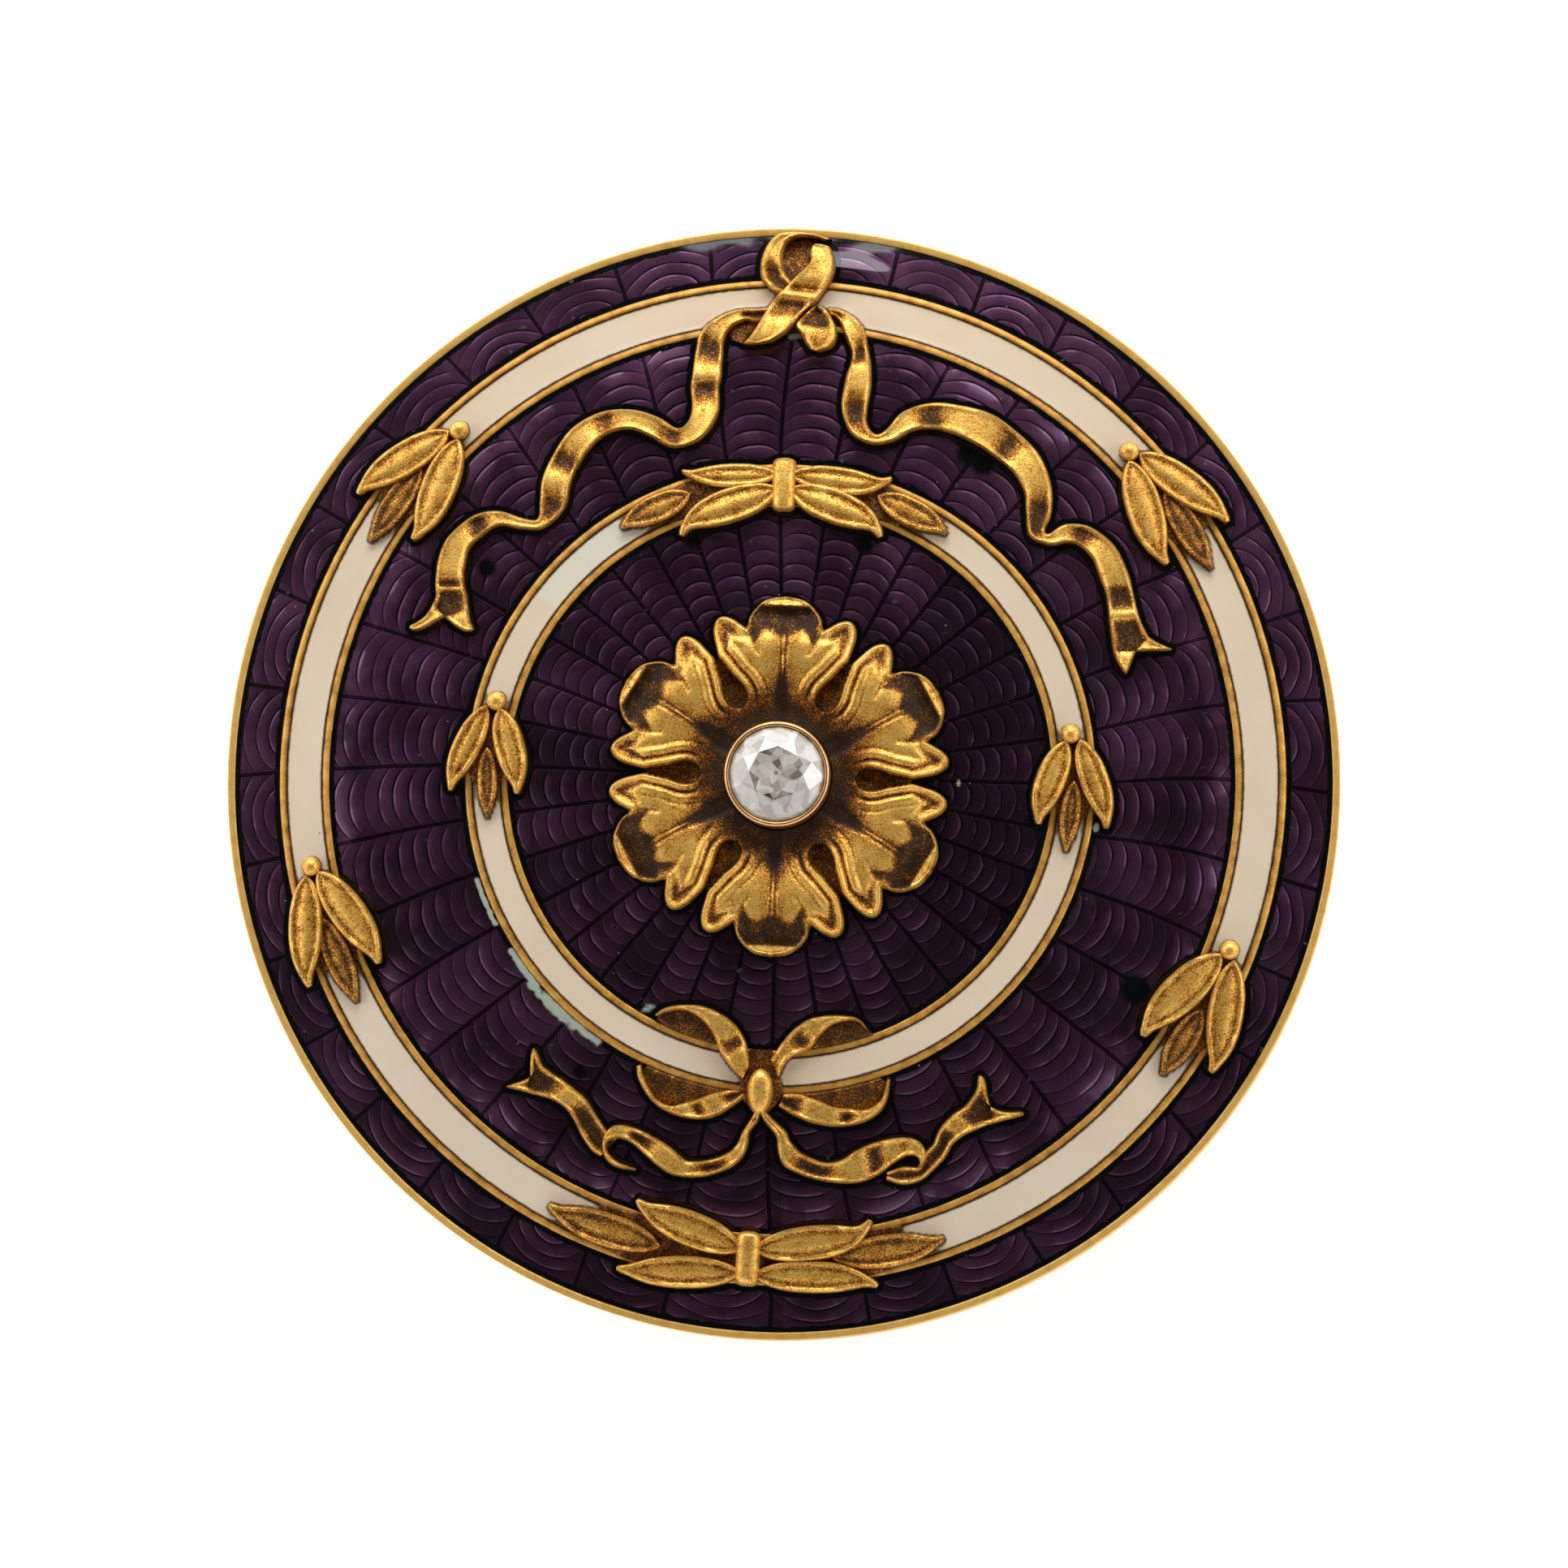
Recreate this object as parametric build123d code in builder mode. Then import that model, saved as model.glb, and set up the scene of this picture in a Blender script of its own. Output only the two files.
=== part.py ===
from build123d import *

import os
from math import cos, degrees, hypot, radians, sin, sqrt, tan

# A round, slightly domed gold brooch with purple and cream enamel, raised gold
# ribbons, laurel sprays and a rosette round one diamond. Millimetres, +Z out of
# the face, +Y towards the ribbon knot. The origin is the middle of the rim's
# foot, so the brooch rests on z = 0 with its pin inside the hollow back.

# Driving sizes of the plate
brooch_diameter = 40.0
rim_width = 0.28
rim_height = 1.8
rim_rounding = 0.12
foot_width = 0.9
foot_height = 0.5
dome_rise = 3.0
plate_thickness = 0.8

# Bands of the face, from the rim inwards
outer_band_width = 1.65
outer_hoop_width = 1.29
field_width = 4.96
inner_hoop_width = 1.01
border_width = 0.27
border_proud = 0.04
enamel_depth = 0.45

# Clearances
enamel_gap = 0.02
seat_gap = 0.02
overlay_step = 0.015
collet_gap = 0.05
stone_gap = 0.02
pin_gap = 0.05

# Raised gold
ribbon_width = 1.0
ribbon_height = 0.6
leaf_height = 0.62
web_height = 0.14
knot_height = 0.95
bead_diameter = 0.7
tie_width = 0.9
tie_length = 1.95
tie_height = 0.8
bow_bead_width = 0.94
bow_bead_length = 1.64
bow_bead_height = 0.7

# Rosette, collet and stone
rosette_diameter = 12.9
rosette_height = 1.15
rosette_turn = 2.5
petal_count = 6
petal_floor = 0.16
petal_rim_width = 0.3
seat_diameter = 5.4
collet_diameter = 3.78
collet_height = 1.5
collet_lip = 0.12
collet_wall = 0.32
stone_diameter = 3.46
table_share = 0.52
crown_angle = 35.0
pavilion_angle = 41.0
girdle_thickness = 0.08
culet_share = 0.06
light_hole_diameter = 2.0

# Pin on the back
pin_span = 24.0
pin_wire_diameter = 0.8
pin_clearance = 0.3
pin_point_length = 2.4
pin_overshoot = 2.0
knuckle_diameter = 1.5
knuckle_width = 3.2
catch_diameter = 1.5
catch_width = 1.5
catch_foot_width = 0.8

# Radii that follow, from the rim inwards
brooch_radius = brooch_diameter / 2
face_radius = brooch_radius - rim_width
outer_hoop_outer = face_radius - outer_band_width - border_width
outer_hoop_inner = outer_hoop_outer - outer_hoop_width
field_outer = outer_hoop_inner - border_width
field_inner = field_outer - field_width
inner_hoop_outer = field_inner - border_width
inner_hoop_inner = inner_hoop_outer - inner_hoop_width
centre_outer = inner_hoop_inner - border_width
seat_radius = seat_diameter / 2
rosette_radius = rosette_diameter / 2
collet_radius = collet_diameter / 2
stone_radius = stone_diameter / 2

# The dome is part of a sphere through the inner edge of the rim
dome_radius = (face_radius**2 + dome_rise**2) / (2 * dome_rise)
dome_centre = rim_height + dome_rise - dome_radius
enamel_top = -border_proud
enamel_floor = -border_proud - enamel_depth
plate_under = enamel_floor - plate_thickness

# A hoop is its middle radius and its width
outer_hoop = ((outer_hoop_inner + outer_hoop_outer) / 2, outer_hoop_width)
inner_hoop = ((inner_hoop_inner + inner_hoop_outer) / 2, inner_hoop_width)

# Columns: clock angle in degrees from the knot, share of the field from its
# inner to its outer edge, width and height as shares of the ribbon's
left_ribbon_rows = [
    (-8.2, 1.02, 0.93, 1.00),
    (-9.8, 0.84, 0.99, 0.95),
    (-10.9, 0.62, 1.05, 0.62),
    (-11.6, 0.44, 0.99, 0.85),
    (-13.9, 0.32, 0.82, 1.00),
    (-17.1, 0.31, 0.76, 0.65),
    (-19.7, 0.44, 0.79, 0.80),
    (-22.5, 0.55, 0.76, 0.95),
    (-26.2, 0.61, 0.88, 0.65),
    (-30.3, 0.59, 1.05, 1.00),
    (-34.0, 0.51, 1.05, 0.62),
    (-37.0, 0.42, 1.08, 0.90),
    (-39.6, 0.31, 0.99, 0.60),
    (-43.0, 0.26, 0.45, 0.80),
    (-45.1, 0.35, 0.42, 0.85),
    (-47.1, 0.51, 0.58, 0.85),
    (-50.0, 0.59, 0.88, 0.62),
    (-53.4, 0.62, 0.93, 1.00),
]
right_ribbon_rows = [
    (9.8, 0.98, 0.76, 0.60),
    (10.9, 0.82, 0.82, 1.00),
    (11.1, 0.62, 0.99, 0.90),
    (11.3, 0.46, 0.96, 0.60),
    (12.7, 0.32, 0.70, 0.70),
    (15.5, 0.27, 0.42, 0.80),
    (17.7, 0.33, 0.53, 0.85),
    (19.6, 0.47, 0.82, 0.90),
    (22.6, 0.57, 0.99, 0.58),
    (26.1, 0.62, 1.11, 0.95),
    (30.1, 0.65, 1.28, 1.00),
    (34.3, 0.64, 1.23, 0.65),
    (38.1, 0.61, 1.17, 0.95),
    (41.7, 0.52, 1.02, 0.85),
    (44.2, 0.40, 0.93, 0.55),
    (46.3, 0.29, 0.64, 0.60),
    (48.4, 0.32, 0.46, 0.85),
    (49.4, 0.44, 0.70, 0.80),
    (51.4, 0.53, 0.82, 0.60),
    (55.0, 0.57, 0.96, 0.95),
    (58.8, 0.54, 1.05, 1.00),
]
# Bands whose two edges were measured. Columns: x and y of one edge, x and y of
# the other, height as a share of the ribbon's. A fishtail's last two rows are
# its corners and its tips
left_ribbon_start = [
    (-0.84, 16.95, -0.92, 16.52, 0.50),
    (-1.22, 16.93, -1.34, 16.43, 0.50),
    (-1.56, 16.89, -1.69, 16.26, 0.60),
]
left_ribbon_end = [
    (-12.38, 7.45, -11.34, 7.44, 0.95),
    (-12.40, 7.06, -11.32, 7.04, 0.62),
    (-12.39, 6.87, -11.28, 6.85, 0.85),
    (-12.38, 6.63, -11.22, 6.61, 0.55),
    (-12.47, 6.38, -11.17, 6.18, 0.70),
    (-13.28, 5.45, -11.01, 5.35, 0.80),
]
right_ribbon_start = [
    (1.48, 16.87, 1.64, 17.04, 0.50),
    (1.73, 16.56, 2.03, 16.80, 0.50),
    (2.08, 16.30, 2.46, 16.52, 0.50),
]
right_ribbon_end = [
    (11.61, 6.66, 12.63, 6.67, 0.60),
    (11.69, 6.19, 12.73, 6.20, 0.62),
    (11.74, 5.79, 12.83, 5.83, 0.90),
    (11.77, 5.40, 12.97, 5.46, 0.58),
    (11.89, 4.50, 13.18, 5.07, 0.75),
    (12.36, 3.73, 13.97, 4.62, 0.80),
]
# The bow's tails
left_tail_rows = [
    (-0.95, -12.13, -0.65, -12.20, 0.70),
    (-1.36, -12.62, -1.06, -12.62, 0.85),
    (-1.56, -13.05, -1.16, -13.15, 0.90),
    (-1.90, -13.35, -1.47, -13.68, 0.85),
    (-2.47, -13.57, -2.11, -14.04, 0.58),
    (-3.21, -13.64, -2.95, -14.23, 0.75),
    (-3.55, -13.47, -3.82, -14.16, 0.95),
    (-3.95, -13.11, -4.35, -13.86, 1.00),
    (-4.48, -12.78, -4.82, -13.46, 0.70),
    (-5.08, -12.49, -5.29, -13.03, 0.62),
    (-5.69, -12.34, -5.72, -12.85, 0.95),
    (-6.09, -12.44, -6.01, -12.88, 0.95),
    (-6.35, -12.80, -6.20, -13.03, 0.90),
    (-6.38, -13.26, -6.18, -13.26, 0.90),
    (-6.20, -13.65, -6.00, -13.49, 0.85),
    (-5.77, -13.89, -5.73, -13.69, 0.75),
    (-5.20, -13.98, -5.16, -13.89, 0.60),
]
left_tail_end_rows = [
    (-6.45, -13.47, -5.77, -12.76, 0.50),
    (-6.76, -13.26, -6.13, -12.60, 0.50),
    (-7.12, -12.75, -6.44, -12.19, 0.50),
    (-7.43, -12.13, -6.65, -11.88, 0.60),
    (-7.69, -11.77, -6.90, -11.47, 0.90),
    (-8.05, -11.51, -7.27, -11.11, 1.00),
    (-8.47, -11.35, -7.73, -10.77, 0.80),
    (-8.88, -11.25, -8.15, -10.49, 0.58),
    (-9.09, -11.18, -8.48, -10.25, 0.75),
    (-9.81, -10.96, -8.82, -9.61, 0.80),
]
right_tail_rows = [
    (-0.05, -12.23, -0.40, -12.34, 0.70),
    (0.20, -12.58, -0.16, -12.79, 0.85),
    (0.37, -12.93, -0.09, -13.35, 0.90),
    (0.69, -13.31, 0.12, -13.83, 0.80),
    (1.14, -13.55, 0.71, -14.14, 0.58),
    (1.60, -13.69, 1.28, -14.32, 0.60),
    (2.13, -13.62, 2.05, -14.45, 0.80),
    (2.70, -13.27, 2.83, -14.42, 0.95),
    (3.26, -13.01, 3.47, -14.17, 0.62),
    (3.90, -12.85, 3.96, -13.82, 0.85),
    (4.47, -12.80, 4.39, -13.54, 0.75),
    (4.92, -12.93, 4.71, -13.48, 0.90),
    (5.18, -13.26, 4.90, -13.57, 0.95),
    (5.16, -13.64, 4.94, -13.73, 0.85),
    (5.01, -13.92, 4.88, -13.83, 0.70),
]
right_tail_end_rows = [
    (3.82, -14.00, 3.78, -14.34, 0.50),
    (4.39, -13.82, 4.38, -14.50, 0.50),
    (4.95, -13.82, 5.02, -14.34, 0.50),
    (5.17, -13.32, 5.44, -13.99, 0.50),
    (5.44, -13.03, 5.87, -13.55, 0.50),
    (5.59, -12.65, 6.15, -13.07, 0.60),
    (5.84, -12.29, 6.51, -12.78, 0.95),
    (6.18, -11.97, 6.90, -12.59, 0.90),
    (6.57, -11.71, 7.29, -12.42, 0.58),
    (6.93, -11.25, 7.63, -12.32, 0.75),
    (7.15, -10.61, 8.67, -11.97, 0.80),
]
# The notch of each fishtail: one tip, the bottom of the notch and the other tip
left_ribbon_notch = [(-13.28, 5.45), (-12.04, 5.84), (-11.01, 5.35)]
right_ribbon_notch = [(12.36, 3.73), (12.72, 4.52), (13.97, 4.62)]
left_tail_notch = [(-9.81, -10.96), (-8.96, -10.63), (-8.82, -9.61)]
right_tail_notch = [(7.15, -10.61), (7.49, -11.70), (8.67, -11.97)]

# The knot's bands by their edges, with heights as shares of the knot's
knot_loop_rows = [
    (1.87, 19.60, 1.88, 19.46, 0.60),
    (1.26, 19.66, 1.27, 19.58, 0.70),
    (0.70, 19.70, 0.80, 19.54, 0.80),
    (0.12, 19.70, 0.47, 19.40, 0.90),
    (-0.31, 19.60, 0.20, 19.18, 1.00),
    (-0.59, 19.09, 0.10, 18.82, 0.95),
    (-0.78, 18.64, 0.12, 18.51, 0.80),
    (-0.76, 18.19, 0.29, 18.24, 0.55),
    (-0.59, 17.74, 0.38, 18.10, 0.55),
    (-0.33, 17.52, 0.18, 17.74, 0.50),
]
knot_strap_rows = [
    (1.08, 19.15, 1.42, 19.29, 0.75),
    (1.02, 18.90, 1.86, 18.86, 0.95),
    (0.88, 18.54, 1.98, 18.41, 1.00),
    (0.51, 18.14, 1.95, 17.97, 1.00),
    (0.14, 17.78, 1.68, 17.65, 0.90),
    (-0.24, 17.42, 1.39, 17.25, 0.62),
    (-0.52, 17.06, 1.02, 16.98, 0.95),
    (-0.73, 16.72, 0.72, 16.58, 0.60),
    (-0.92, 16.30, 0.43, 16.11, 0.85),
    (-1.11, 15.98, -0.04, 15.75, 0.90),
    (-1.32, 15.71, -0.64, 15.60, 0.70),
]
knot_lobe_rows = [
    (1.05, 16.90, 1.39, 16.95, 0.50),
    (0.80, 16.60, 1.70, 16.64, 0.55),
    (0.60, 16.21, 1.95, 16.34, 0.62),
    (0.65, 15.99, 2.09, 16.03, 0.90),
    (0.85, 15.73, 2.07, 15.73, 1.00),
    (1.02, 15.47, 1.88, 15.47, 0.95),
    (1.19, 15.31, 1.62, 15.31, 0.80),
]
knot_web_clock = (-1.8, 4.2)

# The bow's loops by their edges, from its bead outwards
bow_clock = 183.6
bow_loops = [
    [
        (-1.07, -10.25, -1.34, -10.78, 0.80),
        (-1.10, -9.78, -1.77, -10.32, 0.95),
        (-1.23, -9.32, -2.14, -9.78, 0.66),
        (-1.57, -8.81, -2.34, -9.25, 0.95),
        (-2.10, -8.41, -2.57, -8.88, 1.00),
        (-2.77, -8.14, -2.97, -8.51, 1.00),
        (-3.51, -8.10, -3.48, -8.31, 0.90),
        (-4.11, -8.21, -4.01, -8.38, 0.75),
        (-4.45, -8.44, -4.35, -8.53, 0.60),
    ],
    [
        (-1.21, -11.37, -1.51, -11.11, 0.60),
        (-1.65, -11.70, -1.98, -11.14, 0.62),
        (-2.19, -12.03, -2.59, -11.30, 0.95),
        (-2.73, -12.17, -3.06, -11.47, 0.66),
        (-3.40, -12.12, -3.53, -11.60, 0.95),
        (-4.07, -11.89, -3.93, -11.66, 1.00),
        (-4.54, -11.56, -4.37, -11.46, 0.90),
        (-4.90, -11.09, -4.67, -11.03, 0.85),
        (-5.10, -10.63, -4.86, -10.60, 0.75),
        (-5.13, -10.27, -4.93, -10.24, 0.60),
    ],
    [
        (-0.31, -10.00, -0.03, -10.71, 0.70),
        (0.04, -9.51, 0.32, -10.07, 0.85),
        (0.47, -9.01, 1.10, -9.69, 0.66),
        (1.04, -8.63, 1.46, -9.23, 0.95),
        (1.67, -8.50, 1.88, -8.87, 1.00),
        (2.31, -8.50, 2.38, -8.72, 0.95),
        (2.80, -8.60, 2.80, -8.75, 0.80),
        (3.15, -8.96, 3.08, -9.00, 0.60),
    ],
    [
        (-0.04, -11.75, 0.17, -11.26, 0.50),
        (0.45, -12.03, 0.67, -11.26, 0.60),
        (1.08, -12.30, 1.30, -11.47, 0.95),
        (1.79, -12.44, 1.87, -11.71, 0.90),
        (2.42, -12.43, 2.43, -11.78, 0.62),
        (3.06, -12.26, 2.99, -11.83, 0.95),
        (3.56, -11.95, 3.42, -11.64, 0.95),
        (3.84, -11.46, 3.67, -11.32, 0.80),
        (3.95, -10.76, 3.81, -10.77, 0.65),
    ],
]
# Ground inside each loop: first and last place along, inner and outer edge
bow_grounds = [
    (1.30, 3.95, -1.30, -0.80),
    (1.20, 3.75, 0.80, 1.50),
    (-1.10, -3.75, -1.20, -0.80),
    (-1.10, -3.90, 0.80, 1.45),
    (-0.75, 0.75, -0.50, 1.20),
]

# Leaves. Columns: base and tip as places along the hoop from the bead and
# outwards from its middle line, width, all in hoop widths, height as a share
# of the leaf's, and bend as the rise of its middle line to its length
three_leaf_rows = [
    (1.45, 0.05, 4.00, 0.00, 0.97, 0.62, 0.00),
    (0.21, 0.14, 3.07, 1.02, 1.03, 0.95, 0.05),
    (0.18, -0.14, 3.30, -1.02, 1.10, 1.00, -0.05),
]
right_three_leaf_rows = [
    (1.81, 0.00, 3.95, 0.05, 0.97, 0.62, 0.00),
    (0.22, 0.20, 3.12, 1.08, 1.06, 0.95, 0.05),
    (0.20, -0.16, 3.38, -1.00, 1.21, 1.00, -0.05),
]
small_three_leaf_rows = [
    (1.65, 0.02, 4.20, 0.04, 0.91, 0.62, 0.00),
    (0.22, 0.28, 3.15, 1.26, 1.13, 0.95, 0.06),
    (0.22, -0.16, 3.41, -1.08, 1.21, 1.00, -0.06),
]
top_leaf_rows = [
    (2.45, 0.16, 6.08, 0.03, 1.21, 0.75, 0.03),
    (-2.45, 0.16, -6.02, 0.09, 1.19, 0.75, -0.03),
    (0.16, 0.44, 3.55, 0.95, 1.10, 0.95, 0.05),
    (-0.14, 0.42, -3.35, 1.14, 1.03, 0.95, -0.05),
    (0.16, -0.20, 3.98, -1.18, 1.27, 1.00, -0.04),
    (-0.16, -0.20, -4.15, -1.14, 1.27, 1.00, 0.04),
]
bottom_leaf_rows = [
    (2.15, 0.06, 5.75, 0.12, 1.04, 0.75, 0.03),
    (-2.05, 0.04, -5.46, 0.16, 1.00, 0.75, -0.03),
    (0.16, 0.32, 3.34, 1.03, 0.92, 0.95, 0.03),
    (-0.16, 0.30, -3.36, 1.02, 0.92, 0.95, -0.03),
    (0.16, -0.24, 3.45, -1.01, 0.99, 1.00, -0.03),
    (-0.16, -0.22, -3.59, -0.88, 1.06, 1.00, 0.03),
]
# Sprays. Columns: name, hoop, clock angle of the bead, sense of its leaves
# (1 clockwise, -1 anticlockwise), leaf rows
beaded_sprays = [
    ("spray_upper_left", outer_hoop, -42.5, -1, three_leaf_rows),
    ("spray_upper_right", outer_hoop, 46.7, 1, three_leaf_rows),
    ("spray_lower_left", outer_hoop, -100.2, -1, three_leaf_rows),
    ("spray_lower_right", outer_hoop, 110.9, 1, right_three_leaf_rows),
    ("spray_inner_left", inner_hoop, -74.6, -1, small_three_leaf_rows),
    ("spray_inner_right", inner_hoop, 81.6, 1, small_three_leaf_rows),
]
# Columns: name, hoop, clock angle of the tie, sense, leaf rows, half the web's reach
tied_sprays = [
    ("spray_top", inner_hoop, 0.9, 1, top_leaf_rows, 4.3),
    ("spray_bottom", outer_hoop, 184.0, 1, bottom_leaf_rows, 4.0),
]
beaded_web_reach = (-0.25, 2.9)

# The tie of a spray, from its inner to its outer end. Columns: place from -1 to
# 1 along it, share of its width, share of its height
tie_rows = [(-1.0, 0.6, 0.6), (-0.8, 1.0, 0.9), (0.8, 1.0, 1.0), (1.0, 0.7, 0.7)]
# The bow's bead, in the same columns, and the place of its middle outwards from
# the hoop's middle line in hoop widths
bow_bead_rows = [(-1.0, 0.2, 0.5), (-0.6, 0.8, 0.9), (0.0, 1.0, 1.0), (0.6, 0.8, 0.9), (1.0, 0.2, 0.5)]
bow_bead_out = 0.70
# Half the gap of the cream hoop at the bow, in hoop widths
bow_gap_share = 0.62

# A leaf's sections. Columns: share of its length, share of its width, of its height
leaf_sections = [
    (0.00, 0.26, 0.60),
    (0.12, 0.64, 0.80),
    (0.30, 0.95, 0.95),
    (0.50, 1.00, 1.00),
    (0.70, 0.88, 0.95),
    (0.87, 0.56, 0.85),
    (1.00, 0.14, 0.60),
]
# Half of a section, from edge to middle. Columns: share of the half width and height
leaf_profile = [(1.00, 0.00), (0.97, 0.60), (0.80, 1.00), (0.42, 0.66), (0.00, 0.80)]
ribbon_profile = [(1.00, 0.00), (0.98, 0.72), (0.62, 0.92), (0.00, 1.00)]
round_profile = [(1.00, 0.00), (0.90, 0.52), (0.58, 0.86), (0.00, 1.00)]

# Half of a petal's outline, from its tip to the eye beside it. Columns:
# degrees from the petal's axis, share of the rosette's radius
petal_outline = [
    (0.0, 1.000),
    (6.0, 0.985),
    (10.8, 0.935),
    (13.4, 0.885),
    (14.4, 0.842),
    (16.2, 0.870),
    (18.8, 0.915),
    (21.4, 0.942),
    (23.8, 0.940),
    (25.8, 0.910),
    (27.3, 0.860),
    (28.3, 0.800),
    (29.2, 0.745),
]
eye_outline = [(29.2, 0.740), (26.6, 0.620), (23.6, 0.530), (24.2, 0.470), (30.0, 0.435)]
# Section of the rosette. Columns: share of its radius, share of its height
rosette_profile = [
    (0.31, 0.34),
    (0.38, 0.30),
    (0.50, 0.58),
    (0.66, 0.80),
    (0.78, 0.80),
    (0.88, 0.66),
    (1.01, 0.74),
]
# Raised rims on the petals. Columns: degrees from the axis, share of the
# radius, share of the rim's width, share of the rosette's height
petal_lip_rows = [
    (-11.5, 0.890, 0.60, 0.74),
    (-8.5, 0.940, 1.20, 0.90),
    (0.0, 0.962, 1.65, 1.00),
    (8.5, 0.940, 1.20, 0.90),
    (11.5, 0.890, 0.60, 0.74),
]
petal_rim_rows = [
    (27.2, 0.435, 0.80, 0.62),
    (22.6, 0.480, 1.00, 0.76),
    (21.8, 0.540, 1.00, 0.86),
    (25.0, 0.640, 1.00, 0.96),
    (27.2, 0.740, 1.00, 0.98),
    (26.0, 0.830, 1.00, 0.95),
    (23.2, 0.905, 0.80, 0.90),
    (20.2, 0.895, 0.80, 0.88),
    (17.0, 0.850, 0.60, 0.82),
]
petal_vein_rows = [
    (0.0, 0.360, 0.70, 0.50),
    (0.0, 0.500, 0.75, 0.72),
    (0.0, 0.700, 0.70, 0.90),
    (0.0, 0.820, 0.40, 0.80),
]

# Facets. Columns: how many round the stone, turn of the first in degrees
crown_mains = (8, 0.0)
crown_stars = (8, 22.5)
girdle_pairs = (16, 11.25)
star_slope = 0.55
girdle_slope = 1.16
pavilion_pair_slope = 1.05


def dome_height(radius, lift=0.0):
    """Height of the dome's face at a distance from the middle, raised by lift."""
    return dome_centre + sqrt((dome_radius + lift) ** 2 - radius**2)


def dome_point(place, lift):
    """Point on the dome's face over a place, raised by lift."""
    return Vector(place[0], place[1], dome_height(hypot(*place), lift))


def clock_place(clock, radius):
    """Place at a clock angle from the knot and a distance from the middle."""
    return (radius * sin(radians(clock)), radius * cos(radians(clock)))


def field_place(clock, share):
    """Place at a clock angle and a share of the way across the purple field."""
    return clock_place(clock, field_inner + share * field_width)


def hoop_place(hoop, clock, along, out):
    """Place beside a clock angle of a hoop, along it and outwards in hoop widths."""
    middle_radius, width = hoop
    turn = degrees(along * width / middle_radius)
    return clock_place(clock + turn, middle_radius + out * width)


def section_plane(clock):
    """Upright plane through the middle at a clock angle, with its x outwards."""
    x, y = clock_place(clock, 1.0)
    return Plane(origin=(0, 0, 0), x_dir=(x, y, 0), z_dir=(y, -x, 0))


def ring_section(inner, outer, low, high):
    """Half section of a ring of the dome between two radii and two levels."""
    middle = (inner + outer) / 2
    with BuildLine() as outline:
        ThreePointArc(*[(radius, dome_height(radius, low)) for radius in (inner, middle, outer)])
        Line((outer, dome_height(outer, low)), (outer, dome_height(outer, high)))
        ThreePointArc(*[(radius, dome_height(radius, high)) for radius in (outer, middle, inner)])
        Line((inner, dome_height(inner, high)), (inner, dome_height(inner, low)))
    make_face(outline.edges())


def ring_sector(inner, outer, low, high, clock_from, clock_to, mode=Mode.ADD):
    """Part of a ring of the dome between two clock angles, in the open block."""
    with BuildSketch(section_plane(max(clock_from, clock_to))) as profile:
        ring_section(inner, outer, low, high)
    revolve(profile.sketch, axis=Axis.Z, revolution_arc=abs(clock_to - clock_from), mode=mode)


def hoop_sector(hoop, clock, along_from, along_to, out_from, out_to, height):
    """Low ground on the face beside a clock angle of a hoop, in hoop widths."""
    middle_radius, width = hoop
    turn = degrees(width / middle_radius)
    ring_sector(
        middle_radius + out_from * width,
        middle_radius + out_to * width,
        seat_gap,
        seat_gap + height,
        clock + along_from * turn,
        clock + along_to * turn,
    )


def eased(rows, steps):
    """Extra sections between the rows of a table, on a smooth curve through them."""
    result = []
    for index in range(len(rows) - 1):
        before = rows[max(index - 1, 0)]
        after = rows[min(index + 2, len(rows) - 1)]
        for step in range(steps):
            share = step / steps
            columns = zip(before, rows[index], rows[index + 1], after)
            result.append([smooth_value(*column, share) for column in columns])
    result.append(list(rows[-1]))
    return result


def smooth_value(before, start, end, after, share):
    """Value between start and end on a smooth curve through four values."""
    slope_start = (end - before) / 2
    slope_end = (after - start) / 2
    rise = end - start
    bend = 3 * rise - 2 * slope_start - slope_end
    turn = slope_start + slope_end - 2 * rise
    return start + share * (slope_start + share * (bend + share * turn))


def mirrored(half_profile):
    """Whole section from its half, from one edge over the middle to the other."""
    left = [(-across, height) for across, height in half_profile]
    return left + half_profile[-2::-1]


def raised_band(stations, half_profile, layer):
    """Raised piece lofted through its sections, with its underside near the face.

    A station is a place, a width and a height. Pieces that cross lie in
    different layers, so that no two undersides fall together.
    """
    lift = seat_gap + layer * overlay_step
    points = [dome_point(place, lift) for place, width, height in stations]
    sphere_middle = Vector(0, 0, dome_centre)
    sections = []
    for index, (place, width, height) in enumerate(stations):
        ahead = points[min(index + 1, len(points) - 1)]
        heading = (ahead - points[max(index - 1, 0)]).normalized()
        normal = (points[index] - sphere_middle).normalized()
        across = normal.cross(heading)
        with BuildSketch(Plane(origin=points[index], x_dir=across, z_dir=heading)) as section:
            with BuildLine() as outline:
                corners = mirrored(half_profile)
                Polyline(*[(x * width / 2, y * height) for x, y in corners], close=True)
            make_face(outline.edges())
        sections.append(section.sketch.face())
    return loft(sections, ruled=True, mode=Mode.PRIVATE)


def ribbon_stations(rows, height):
    """Stations over the field from rows of clock angle, share, width and height."""
    stations = []
    for clock, share, width_share, height_share in eased(rows, 2):
        stations.append((field_place(clock, share), width_share * ribbon_width, height_share * height))
    return stations


def edge_stations(rows, height):
    """Stations midway between two measured edges."""
    stations = []
    for x, y, other_x, other_y, height_share in rows:
        middle = ((x + other_x) / 2, (y + other_y) / 2)
        stations.append((middle, hypot(other_x - x, other_y - y), height_share * height))
    return stations


def edge_band(rows, height, layer):
    """Ribbon between two measured edges."""
    return raised_band(edge_stations(rows, height), ribbon_profile, layer)


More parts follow.
